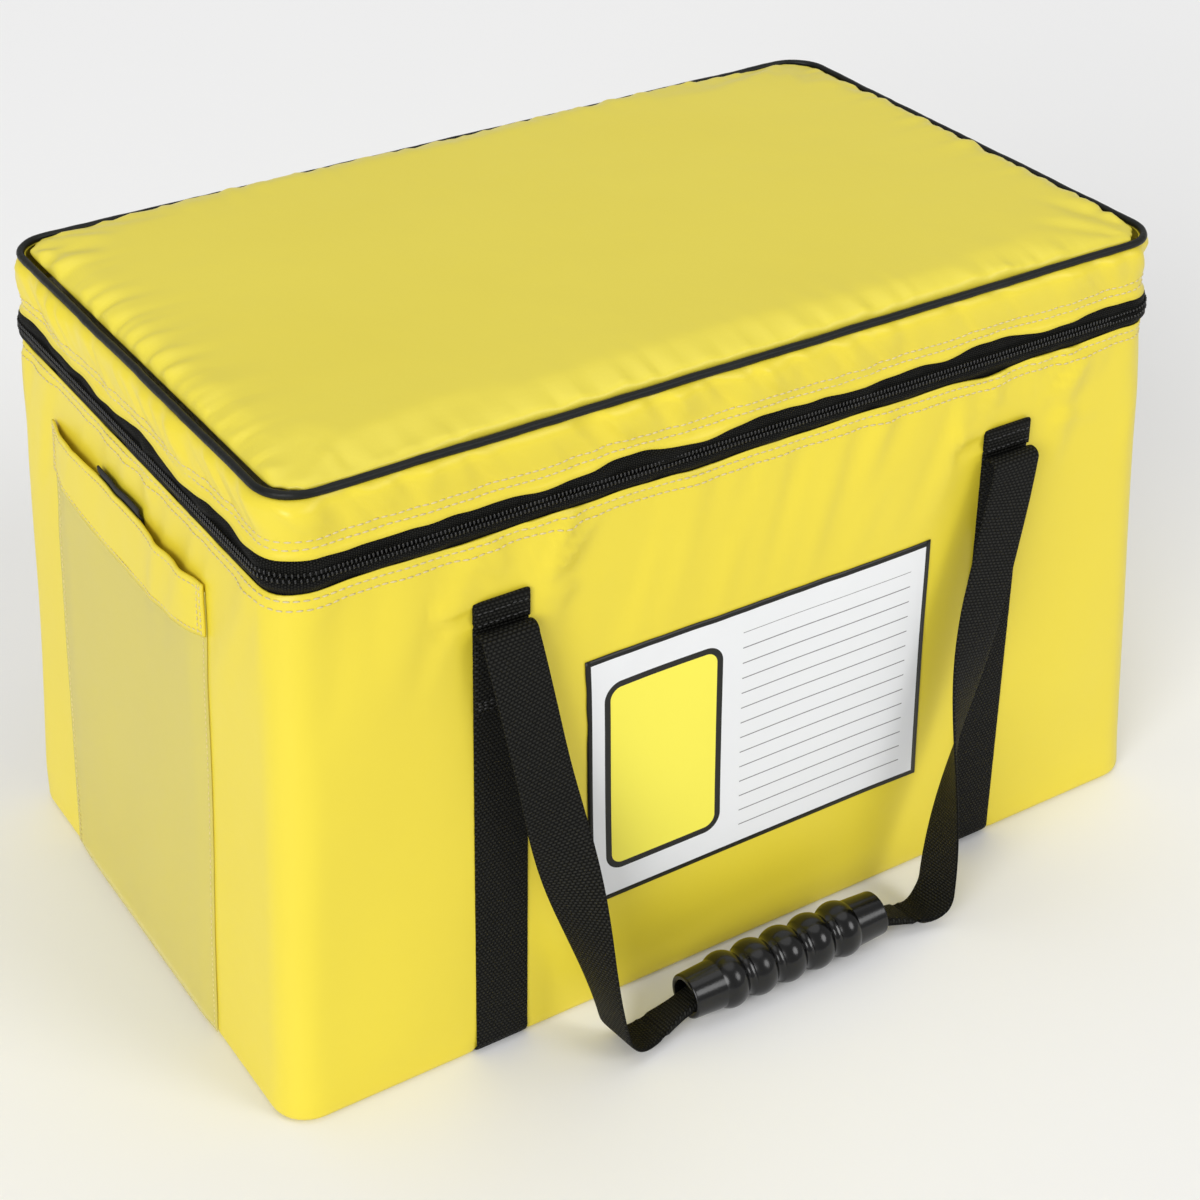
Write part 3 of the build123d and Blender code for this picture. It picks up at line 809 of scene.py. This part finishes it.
def pad_blank(top_drop):
    """The pad before it swells: a shallow box with rolled edges that follows the outline."""
    bm = bmesh.new()
    roll, inner, corner_draw = 0.0075, 30, 0.0050
    arc = [math.radians(15 * n) for n in range(7)]
    rows = [(pad_low, -pad_inset)] + [(0, -pad_inset - roll * (1 - math.cos(a)) ** 1.3) for a in arc]
    places, edges = loops(bm, rows, 400)
    along = bm.verts.layers.float["along"]
    edges = rows_inwards(bm, places, edges, inner)
    for k, verts in enumerate(places):
        for v in verts:
            share = v[along] / girth
            _, facing = around(share)
            drawn = corner_draw * (2 * abs(facing.x * facing.y)) ** 2
            if k < len(rows):
                here = spot(share, piping_z, rows[k][1] - drawn * min(k / 3, 1))
            else:
                rim = spot(share, piping_z, rows[-1][1] - drawn)
                t = (k - len(rows) + 1) / (inner + 1)
                here = Vector((rim.x * (1 - t), rim.y * (1 - t), 0))
            rise = 1.0 if k > len(arc) else math.sin(arc[k - 1]) ** 0.6 if k else 0.0
            here.z = pad_low + (pad_height(here.x, here.y) - top_drop - pad_low) * rise
            v.co = here
    bmesh.ops.contextual_create(bm, geom=edges)
    bm.faces.new(places[0])
    bmesh.ops.recalc_face_normals(bm, faces=bm.faces)
    return bm


def settled(obj):
    """The piece's mesh with its modifiers worked in."""
    mesh = bpy.data.meshes.new_from_object(obj.evaluated_get(bpy.context.evaluated_depsgraph_get()))
    obj.modifiers.clear()
    obj.data = mesh
    return mesh


def even_out(obj, voxel):
    """Remeshes a piece with faces of one size."""
    even = obj.modifiers.new("even", "REMESH")
    even.mode = "VOXEL"
    even.voxel_size = voxel
    settled(obj)


def swell(obj, held, cap, pressure=4.0, frames=20):
    """Blows a closed fabric pad up as cloth, held where it is sewn, each point moving no more than cap."""
    mesh = obj.data
    before = [v.co.copy() for v in mesh.vertices]
    group = obj.vertex_groups.new(name="sewn")
    group.add([v.index for v in mesh.vertices if held(v.co)], 1.0, "REPLACE")
    cloth = obj.modifiers.new("cloth", "CLOTH")
    cloth.settings.quality = 4
    cloth.settings.use_pressure = True
    cloth.settings.uniform_pressure_force = pressure
    cloth.settings.vertex_group_mass = group.name
    cloth.settings.effector_weights.gravity = 0.0
    cloth.collision_settings.use_collision = False
    cloth.point_cache.frame_start = 1
    cloth.point_cache.frame_end = frames
    for number in range(1, frames + 1):
        bpy.context.scene.frame_set(number)
    mesh = settled(obj)
    bpy.context.scene.frame_set(1)
    for v, start in zip(mesh.vertices, before):
        moved = v.co - start
        if moved.length > cap:
            v.co = start + moved.normalized() * cap


def rim_distance(at):
    """How far in a point is from the pad's edge, its place along the side that it is nearest to, that
    side (1 right, 2 left, 3 back, 4 front) and how clear of the corners it is, from 0 to 1."""
    from_end = half_length(piping_z) - pad_inset - abs(at.x)
    from_face = half_width(piping_z) - pad_inset - abs(at.y)
    clear = smooth(0.0, 0.012, abs(from_end - from_face))
    if from_end < from_face:
        return from_end, at.y, 1 if at.x > 0 else 2, clear
    return from_face, at.x, 3 if at.y > 0 else 4, clear


def pucker(at):
    """Short folds where the pad's cover is gathered into the piping, deepest along the left end."""
    gone, run, side, clear = rim_distance(at)
    strength = {1: 0.9, 2: 1.5, 3: 0.6, 4: 0.55}[side] * (0.3 + 0.7 * clear)
    fold = wave(run * 88 + 5 * gone, gone * 14, 52.0 + side) + 0.5 * wave(run * 180, gone * 26, 57.0 + side)
    reach = smooth(-0.001, 0.005, gone) * math.exp(-max(gone - 0.004, 0) / 0.010)
    long_fold = 0.22 * wave(run * 40, gone * 9, 61.0 + side) * math.exp(-max(gone, 0) / 0.026)
    return 0.0031 * strength * (fold * reach + long_fold)


def lid_pad():
    """The padded lid: a cover sewn to the piping, blown up over its foam and gathered at the edge."""
    cap, voxel = 0.0025, 0.005
    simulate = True
    obj = piece("lid_pad", pad_blank(cap if simulate else 0.0), "lid", lid_yellow_painted_sheen, "lid_panel", "lid_foam",
                slot="yellow_fabric")
    even_out(obj, voxel)
    if simulate:
        swell(obj, lambda at: at.z < pad_low + 0.0030 or rim_distance(at)[0] < 0.0012, cap)
    round_off(obj)
    mesh = settled(obj)
    top = pad_low + 0.0015
    for v in mesh.vertices:
        if v.co.z > top:
            v.co.z += pucker(v.co) * smooth(top, top + 0.004, v.co.z)
    mesh.shade_smooth()
    if not mesh.materials:
        mesh.materials.append(lid_yellow_painted_sheen)


# Webbing: a strip of even width and thickness that follows stations of place, width and facing

def strip(name, stations, body, material, *nodes):
    """Stations are (place, across, facing, width, thickness); the section has soft edges.
    Each vertex keeps its run along the strip and its place across it, apart for the two faces."""
    bm = bmesh.new()
    along = bm.verts.layers.float.new("along")
    across = bm.verts.layers.float.new("across")
    number = bm.verts.layers.int.new("number")
    side = [(-0.5, 0.0), (-0.48, 0.38), (-0.42, 0.5), (-0.2, 0.5), (0.0, 0.5), (0.2, 0.5), (0.42, 0.5),
            (0.48, 0.38)]
    section = side + [(-u, -w) for u, w in side]
    verts = [bm.verts.new() for _ in section]
    for n, v in enumerate(verts):
        v[number] = n
    first = verts
    edges = [bm.edges.new(pair) for pair in zip(verts, verts[1:] + verts[:1])]
    gone = 0.0
    for n, (at, wide, facing, width, thick) in enumerate(stations):
        if n > 0:
            verts, edges = next_row(bm, edges)
            gone += (at - stations[n - 1][0]).length
        for v in verts:
            u, w = section[v[number]]
            v.co = at + wide * u * width + facing * w * thick
            v[along] = gone
            v[across] = u * webbing_width + (0.1 if w < 0 else 0.0)
    bm.faces.new(first)
    bmesh.ops.contextual_create(bm, geom=edges)
    bm.verts.layers.int.remove(number)
    bmesh.ops.recalc_face_normals(bm, faces=bm.faces)
    return piece(name, bm, body, material, *nodes, slot="black_webbing")


def wall_frame(side_y):
    """Facing and upward directions of the front (-1) or back (1) wall."""
    facing = Vector((0, side_y * math.cos(face_lean), math.sin(face_lean)))
    up = Vector((0, -side_y * math.sin(face_lean), math.cos(face_lean)))
    return facing, up


def on_wall(side_y, x, z, out):
    """A point on the flat front (-1) or back (1) wall, moved outwards."""
    facing, _ = wall_frame(side_y)
    return Vector((x, side_y * half_width(z), z)) + facing * out


def strap_route(side):
    """Middle line of a strap and its facing: tab hem, down the front, under the base and up the back."""
    half = []
    first, second = 0.5 * webbing, 1.5 * webbing
    crest_z = strap_top - 0.0008
    facing, up = wall_frame(-1)

    def wall(z, out):
        return on_wall(-1, strap_x(side, z), z, out), facing

    for n in range(4):
        half.append(wall(strap_top - strap_tab + n * (strap_tab - 0.0008) / 3, second + 0.0001))
    crest, _ = wall(crest_z, (first + second) / 2)
    for angle in (45, 90, 135):
        a = math.radians(angle)
        lean = facing * math.cos(a) + up * math.sin(a)
        half.append((crest + lean * webbing / 2, lean))
    levels = 60
    for n in range(levels + 1):
        half.append(wall(crest_z - (strap_top - 0.0068) * n / levels, first + 0.00005))
    foot = straps[side][0]
    turn_y, turn_z, radius = -half_width(0) + 0.0052, 0.0064, 0.0056
    for n in range(1, 7):
        a = math.radians(15 * n)
        lean = Vector((0, -math.cos(a), -math.sin(a)))
        half.append((Vector((foot, turn_y, turn_z)) + lean * radius, lean))
    down = Vector((0, 0, -1))
    floor = [(Vector((foot, turn_y * (1 - 2 * n / 30), turn_z - radius)), down) for n in range(1, 30)]
    back = [(Vector((p.x, -p.y, p.z)), Vector((f.x, -f.y, f.z))) for p, f in reversed(half)]
    return half + floor + back


def straps_and_tabs():
    """The two straps, each one strip with a hem at both ends, a little uneven in width."""
    for side, node in (("left", "strap_left"), ("right", "strap_right")):
        route = strap_route(side)
        stations = []
        for k, (place, facing) in enumerate(route):
            ahead = route[min(k + 1, len(route) - 1)][0] - route[max(k - 1, 0)][0]
            wide = ahead.cross(facing).normalized()
            edge = 1 + 0.012 * wave(k * 0.9, 0.0, 61.0)
            stations.append((place, wide, facing.normalized(), webbing_width * edge, webbing))
        # the tab's hem turns over, so its width keeps one direction
        for k in range(1, len(stations)):
            if stations[k][1].dot(stations[k - 1][1]) < 0:
                place, wide, *rest = stations[k]
                stations[k] = (place, -wide, *rest)
        strip(f"{side}_strap", stations, "bag_body", strap_cloth, node)


# Handles: each web is sewn flat on its strap, folds over, hangs down, turns and gathers in the grip

def handle_frame(side_y):
    """Where a handle turns, and the facing and upward directions of the plane that it hangs in."""
    drop = pivot_z - grip_z
    lean = math.atan(grip_reach / drop)
    facing = Vector((0, side_y * math.cos(lean), math.sin(lean)))
    up = Vector((0, -side_y * math.sin(lean), math.cos(lean)))
    origin = Vector((0, side_y * (half_width(pivot_z) + pivot_out), pivot_z))
    return origin, facing, up


grip_drop = math.hypot(grip_reach, pivot_z - grip_z)


def heading_to(offset, turn):
    """Heading of a line that leaves one point and touches the bend's circle round another."""
    return math.atan2(offset[1], offset[0]) + turn * math.asin(bend_radius / math.hypot(*offset))


def leg_stations(side_x, side_y):
    """One leg from its sewn end to the middle of the grip; x runs away from the bag's middle."""
    name = "left" if side_x < 0 else "right"
    origin, facing, up = handle_frame(side_y)
    wall_facing, wall_up = wall_frame(side_y)
    top_x = side_x * strap_x(name, pivot_z)
    entry = (side_x * grip_offset + grip_length / 2, -grip_drop)
    centre = (entry[0] + bend_spread, -grip_drop - bend_drop + bend_radius)
    down = heading_to((centre[0] - top_x, centre[1]), 1)
    up_again = heading_to((centre[0] - entry[0], centre[1] - entry[1]), -1) - math.pi
    right = Vector((1, 0, 0))
    second = 1.5 * webbing
    loop = pivot_out - second

    def in_plane(x, y):
        return origin + right * x + up * y

    def on_bend(heading):
        return centre[0] - bend_radius * math.sin(heading), centre[1] + bend_radius * math.cos(heading)

    flat = []
    for n in range(9):
        z = sewn_low + (pivot_z - sewn_low) * n / 8
        x = side_x * strap_x(name, z)
        flat.append((Vector((x, side_y * half_width(z), z)) + wall_facing * (second + 0.0001),
                     right, wall_facing, webbing_width, webbing))
    for n in range(1, 12):
        a = math.pi * n / 12
        lean = -wall_facing * math.cos(a) + wall_up * math.sin(a)
        pull = 1 + 0.15 * math.sin(a)
        flat.append((origin + right * top_x + lean * loop * pull, right, lean, webbing_width, webbing))
    start_x, start_y = on_bend(down)
    steps = 44
    hang = []
    for n in range(steps + 1):
        share = n / steps
        x = top_x + (start_x - top_x) * share
        y = start_y * share
        bow = math.sin(math.pi * share)
        lift = loop * (1 - smooth(0.0, 0.52, share))
        x += (0.001 if side_x < 0 else -0.004) * bow
        turn = math.radians(90) * smooth(0.28, 1.0, share)
        heading = down if n > 3 else -math.pi / 2 + (down + math.pi / 2) * n / 4
        across = -right * math.sin(heading) + up * math.cos(heading)
        wide = across * math.cos(turn) - facing * math.sin(turn)
        face = facing * math.cos(turn) + across * math.sin(turn)
        hang.append((in_plane(x, y) + facing * lift, wide, face, webbing_width, webbing))
    bend = []
    bend_steps = 16
    for n in range(1, bend_steps + 1):
        share = n / bend_steps
        heading = down + (up_again - down) * share
        across = -right * math.sin(heading) + up * math.cos(heading)
        ease = smooth(0.25, 1.0, share)
        width = webbing_width + (gathered_width - webbing_width) * ease
        thick = webbing + (gathered_thick - webbing) * ease
        bend.append((in_plane(*on_bend(heading)), -facing, across, width, thick))
    finish = []
    from_x, from_y = on_bend(up_again)
    for n in range(1, 7):
        share = n / 6
        x = from_x + (entry[0] - in_grip - from_x) * share
        y = from_y + (entry[1] - from_y) * share
        neck = smooth(0.0, 0.55, share)
        width = gathered_width + (neck_width - gathered_width) * neck
        thick = gathered_thick + (neck_thick - gathered_thick) * neck
        finish.append((in_plane(x, y), -facing, up, width, thick))
    stations = flat + hang + bend + finish
    if side_x > 0:
        return stations
    turned = Vector((-1, 1, 1))
    return [(place * turned, wide * turned, face * turned, width, thick)
            for place, wide, face, width, thick in stations]


def handles():
    """Four webs; the part below each fold turns with the handle and the part above stays on the bag."""
    for side_y, face in ((-1, "front"), (1, "back")):
        wall_facing, _ = wall_frame(side_y)
        hinge = on_wall(side_y, 0.0, pivot_z, 0.0)
        for side_x, side in ((-1, "left"), (1, "right")):
            stations = leg_stations(side_x, side_y)
            nodes = [f"{face}_{side}_sewn_end"]
            if side == "left":
                nodes.append(f"{face}_handle_web")
            obj = strip(f"{face}_{side}_web", stations, None, web_cloth, *nodes)
            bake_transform(obj, "bag_body", f"{face}_handle", start=hinge + wall_facing * 0.0033,
                     end=hinge + wall_facing * 0.0095)


def webbing_stitching():
    """Rows across each sewn-down end and tab, and a rough bar at the end's foot."""
    pitch, length = 0.0031, 0.0026
    for side_y, face in ((-1, "front"), (1, "back")):
        bm = bmesh.new()
        for side in straps:
            for z, out, seed in ((strap_top - 0.0045, 2.05, 0), (strap_top - 0.0105, 2.05, 1),
                                 (sewn_low + 0.0030, 2.1, 2), (sewn_low + 0.0048, 2.1, 3),
                                 (sewn_low + 0.0066, 2.1, 4)):
                for n in range(-4, 5):
                    x = strap_x(side, z) + n * pitch + 0.0008 * wave(n * 0.7, seed * 3.0, 95.0)
                    tilt = 0.0006 * wave(n * 1.3, seed * 5.0, 96.0) * (3 if seed > 1 else 1)

                    def at(q, z=z + tilt, x=x, out=out, slope=tilt * 300):
                        return on_wall(side_y, q, z + (q - x) * slope, out * webbing)

                    stitch(bm, x, at, length, 0.00042)
        piece(f"{face}_webbing_stitching", bm, "bag_body", black_thread)


# Label and document pocket

def sheet_grid(name, columns, rows, point_at, body, material, *nodes, slot, thickness=0.0005):
    """A rectangular sheet laid on the draped skin; point_at takes shares from 0 to 1."""
    bm = bmesh.new()
    made = bmesh.ops.create_grid(bm, x_segments=columns, y_segments=rows, size=0.5)["verts"]
    for v in made:
        v.co = point_at(v.co.x + 0.5, v.co.y + 0.5)
    bmesh.ops.recalc_face_normals(bm, faces=bm.faces)
    obj = piece(name, bm, body, material, *nodes, slot=slot)
    thicken(obj, thickness, offset=0.0)
    return obj


def label():
    """The blank printed form on the front, its left edge a little uneven."""
    def at(u, v):
        x = form_left + form_wide * u
        z = form_low + form_tall * v
        x += 0.0008 * wave(z * 60, 0.0, 71.0) * bump_at(u, 0.0, 0.05)
        return wall_point(x, z, 0.0005)

    sheet_grid("form_panel", 70, 50, at, "bag_body", form, "label_panel", slot="label")


def pocket_gape(y, z):
    """How far the pocket stands off the wall: held at its sides and at the closure in its middle."""
    u = (pocket_back - y) / (pocket_back - pocket_front)
    held = min(u, 1 - u)
    rise = smooth(0.0, 0.10, held)
    height = smooth(0.02, pocket_mouth, z)
    closure = bump_at(y, closure_back - closure_wide / 2, 0.026)
    slack = 0.0016 * math.sin(math.pi * min(u / 0.36, 1.0)) if u < 0.36 else 0.0
    slack = max(slack, 0.0012 * smooth(0.60, 0.72, u) * (1 - smooth(0.85, 1.0, u)))
    top = smooth(0.17, 0.262, z)
    return rise * (0.0010 + 0.0010 * height) + slack * top * (1 - 0.8 * closure)


def pocket_y(u):
    """Place across the left end, from the pocket's back edge at 0 to its front edge at 1."""
    return pocket_back + (pocket_front - pocket_back) * u


def pocket():
    """The film window, the hem over its mouth, and the hook and loop tapes that close it."""
    def film_at(u, v):
        y = pocket_y(u)
        z = pocket_low + (pocket_mouth - pocket_low) * v
        return end_point(y, z, 0.0006 + pocket_gape(y, z) + 0.0004 * wave(y * 14, z * 14, 81.0))

    sheet_grid("pocket_film", 60, 80, film_at, "bag_body", film, "pocket_window", slot="clear_film",
               thickness=0.0004)

    def hem_at(u, v):
        y = pocket_y(u)
        z = hem_low + (hem_high - hem_low) * v
        ripple = 0.0003 * wave(y * 50, z * 40, 82.0)
        bow = math.sin(math.pi * u)
        dip = -0.001 * bow * v - 0.010 * bow * (1 - v)
        return end_point(y, z + dip, 0.0016 + pocket_gape(y, z) + ripple)

    sheet_grid("pocket_top_hem", 90, 14, hem_at, "bag_body", yellow, "pocket_hem", slot="yellow_fabric",
               thickness=0.0012)

    def hook_at(u, v):
        y = closure_back - closure_wide * u
        z = 0.250 + 0.0185 * v
        return end_point(y, z, pocket_gape(y, z) - 0.0002)

    sheet_grid("hook_tape", 24, 10, hook_at, "bag_body", hook_finish, "pocket_hook_tape", slot="closure",
               thickness=0.0010)

    def loop_at(u, v):
        y = closure_back - closure_wide * u
        z = 0.248 + 0.026 * v
        return end_point(y, z, 0.0007 + 0.0022 * smooth(0.266, 0.272, z))

    sheet_grid("loop_tape", 24, 12, loop_at, "bag_body", hook_finish, "pocket_loop_tape", slot="closure",
               thickness=0.0010)


def pocket_stitching():
    """Rows along the hem's two edges, two at each of its ends, and one down each side of the film."""
    bm = bmesh.new()
    pitch, length, thick, fine = 0.0034, 0.0027, 0.0004, 0.00028

    def hem_line(y, z):
        return end_point(y, z, 0.0016 + pocket_gape(y, z) + 0.00075)

    def film_line(y, z):
        return end_point(y, z, 0.0009 + pocket_gape(y, z))

    for n in range(int((pocket_back - pocket_front) / pitch)):
        y = pocket_back - pitch * (n + 0.5)
        bow = math.sin(math.pi * (pocket_back - y) / (pocket_back - pocket_front))
        for level, dip in ((0.2668, 0.0015), (0.2445, 0.0095)):
            stitch(bm, y, lambda q, z=level - dip * bow: hem_line(q, z), length, thick)
    for n in range(int((hem_high - hem_low) / pitch)):
        z = hem_low + pitch * (n + 0.5)
        for y in (pocket_back - 0.002, pocket_back - 0.0045, pocket_front + 0.002, pocket_front + 0.0045):
            stitch(bm, z, lambda q, y=y: hem_line(y, q), length, thick)
    for n in range(int((hem_low - pocket_low) / pitch)):
        z = pocket_low + pitch * (n + 0.5)
        for y in (pocket_back - 0.003, pocket_front + 0.003):
            stitch(bm, z, lambda q, y=y: film_line(y, q), length, fine)
    piece("pocket_stitching", bm, "bag_body", thread_finish)


# Hinge cloth across the back, and the linings seen with the lid open

def hinge_cloth():
    """Cloth across the back in the zip's gap, which bends between the body and the lid."""
    bm = bmesh.new()
    rows = [(zip_low - 0.003, -0.0010), (zip_low, -0.0002)]
    rows += [(zip_low + (zip_high - zip_low) * n / 10, 0.0) for n in range(1, 10)]
    rows += [(zip_high, -0.0002), (zip_high + 0.003, -0.0010)]
    loops(bm, rows, 150, zip_stop + 0.0002 - girth, zip_start - 0.0002)
    bmesh.ops.recalc_face_normals(bm, faces=bm.faces)
    obj = piece("hinge_cloth", bm, None, yellow, "hinge_strip", "lid_hinge_strip", slot="yellow_fabric")
    thicken(obj, 0.0008)
    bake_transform(obj, "bag_body", "lid", start=(0, 0.1563, 0.3035), end=(0, 0.1560, 0.3105))


lining_thick, lining_columns, lining_rows = 0.0007, 300, 16


def lining_tub():
    """White welded tub with a rim over the foam, slack on its walls and floor."""
    tub_low, tub_high, tub_in = 0.0144, 0.2976, 0.0124
    steps, bend = 40, 0.006
    bm = bmesh.new()
    rows = [(tub_high, -0.0021), (tub_high, -0.0070), (tub_high - 0.0001, -tub_in + 0.0014),
            (tub_high - 0.0010, -tub_in)]
    rows += [(tub_high - 0.003 - (tub_high - 0.003 - tub_low - bend) * n / steps, -tub_in)
             for n in range(steps + 1)]
    rows += [(tub_low + bend - bend * math.sin(a), -tub_in - bend + bend * math.cos(a))
             for a in (math.radians(22.5 * n) for n in range(1, 5))]
    places, edges = loops(bm, rows, lining_columns)
    along = bm.verts.layers.float["along"]
    edges = rows_inwards(bm, places, edges, lining_rows)
    for k, verts in enumerate(places):
        for v in verts:
            run = v[along]
            if k < len(rows):
                z, out = rows[k]
                deep = smooth(0.0, 0.02, tub_high - z) * smooth(tub_low, tub_low + 0.02, z)
                soft = 0.0022 * wave(run * 9, z * 12, 101.0) + 0.0012 * wave(run * 30, z * 9, 102.0)
                v.co = spot(run / girth, z + 0.0004 * wave(run * 25, out * 90, 103.0) * (k < 3),
                            out - max(soft * deep, -0.0002) - 0.0001)
            else:
                rim = spot(run / girth, tub_low, rows[-1][1])
                t = (k - len(rows) + 1) / (lining_rows + 1)
                x, y = rim.x * (1 - t), rim.y * (1 - t)
                v.co = Vector((x, y, tub_low + 0.0004 + 0.0006 * (wave(x * 16, y * 16, 104.0) + 0.5)))
    bmesh.ops.contextual_create(bm, geom=edges)
    bmesh.ops.recalc_face_normals(bm, faces=bm.faces)
    tub = piece("lining_tub", bm, "bag_body", liner_finish, "inner_liner", slot="liner")
    thicken(tub, lining_thick, offset=0.0)


def lid_lining():
    """White sheet under the lid, soft over its foam and tucked along its edge."""
    bm = bmesh.new()
    level, edge_in = 0.3226, 0.0060
    places, edges = loops(bm, [(level, -0.0022), (level, -edge_in)], lining_columns)
    along = bm.verts.layers.float["along"]
    edges = rows_inwards(bm, places, edges, lining_rows)
    for k, verts in enumerate(places[2:], 1):
        for v in verts:
            rim = spot(v[along] / girth, level, -edge_in)
            t = k / (lining_rows + 1)
            x, y = rim.x * (1 - t), rim.y * (1 - t)
            gone = (rim.xy - Vector((x, y))).length
            puff = 0.0022 * smooth(0.0, 0.05, gone)
            tuck = 0.0009 * (0.5 + wave(v[along] * 60, gone * 20, 105.0))
            tuck *= smooth(0.0, 0.01, gone) * math.exp(-gone / 0.03)
            v.co = Vector((x, y, level - puff - tuck - 0.0007 * (0.5 + wave(x * 14, y * 14, 106.0))))
    bmesh.ops.contextual_create(bm, geom=edges)
    bmesh.ops.recalc_face_normals(bm, faces=bm.faces)
    sheet = piece("lid_lining", bm, "lid", liner_finish, "lid_liner", slot="liner")
    thicken(sheet, lining_thick, offset=0.0)


def dress_nodes():
    """Nodes whose own shape shows: finishes only."""
    finishes = {
        "base_foam": foam_finish, "base_board": board_finish, "foam_front": foam_finish,
        "foam_back": foam_finish, "foam_left": foam_finish, "foam_right": foam_finish,
        "zip_slider": metal_finish, "zip_pull": metal_finish, "front_grip": grip_finish,
        "back_grip": grip_finish,
    }
    for node, finish in finishes.items():
        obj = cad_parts[node]
        obj.data.materials.clear()
        obj.data.materials.append(finish)


# Floor, light and camera

def studio():
    """A pale floor under soft white light from all round and three soft suns."""
    bm = bmesh.new()
    bmesh.ops.create_grid(bm, x_segments=1, y_segments=1, size=25.0)
    floor_mat, tree, shader = new_material("pale floor")
    uneven_colour(tree, shader, (0.90, 0.90, 0.90, 1), (0.88, 0.88, 0.88, 1), 2.0, 0.6, 0.05)
    floor = piece("floor", bm, None, floor_mat, shade=False)
    world = bpy.data.worlds.new("studio")
    bpy.context.scene.world = world
    world.use_nodes = True
    background = world.node_tree.nodes["Background"]
    background.inputs["Color"].default_value = (1.0, 1.0, 1.0, 1)
    background.inputs["Strength"].default_value = 0.42
    for name, place, soft, power in (
        ("left_light", (-2.4, -1.5, 1.2), 35, 1.90),
        ("right_light", (1.4, -2.2, 1.7), 25, 0.74),
        ("top_light", (0.3, 0.4, 3.0), 60, 0.66),
    ):
        lamp = bpy.data.lights.new(name, "SUN")
        lamp.energy = power
        lamp.angle = math.radians(soft)
        obj = bpy.data.objects.new(name, lamp)
        obj.location = place
        obj.rotation_euler = (-Vector(place)).to_track_quat("-Z", "Y").to_euler()
        bpy.context.scene.collection.objects.link(obj)
    bpy.context.scene.view_settings.view_transform = "Standard"


def camera():
    """The photograph's viewing angle."""
    data = bpy.data.cameras.new("camera")
    data.sensor_width = 36.0
    data.lens = 70.34
    obj = bpy.data.objects.new("camera", data)
    obj.location = (-0.5898, -0.9387, 0.8463)
    look = Vector((0.4505, 0.7070, -0.5453))
    obj.rotation_euler = look.to_track_quat("-Z", "Y").to_euler()
    bpy.context.scene.collection.objects.link(obj)
    bpy.context.scene.camera = obj


camera()
studio()
dress_nodes()
shell()
zip_tapes()
teeth("body_teeth", "bag_body", "body_zip_coil", 1)
teeth("lid_teeth", "lid", "lid_zip_coil", -1)
lid_side()
piping()
lid_pad()
zip_stitching()
straps_and_tabs()
handles()
webbing_stitching()
label()
pocket()
pocket_stitching()
hinge_cloth()
lining_tub()
lid_lining()
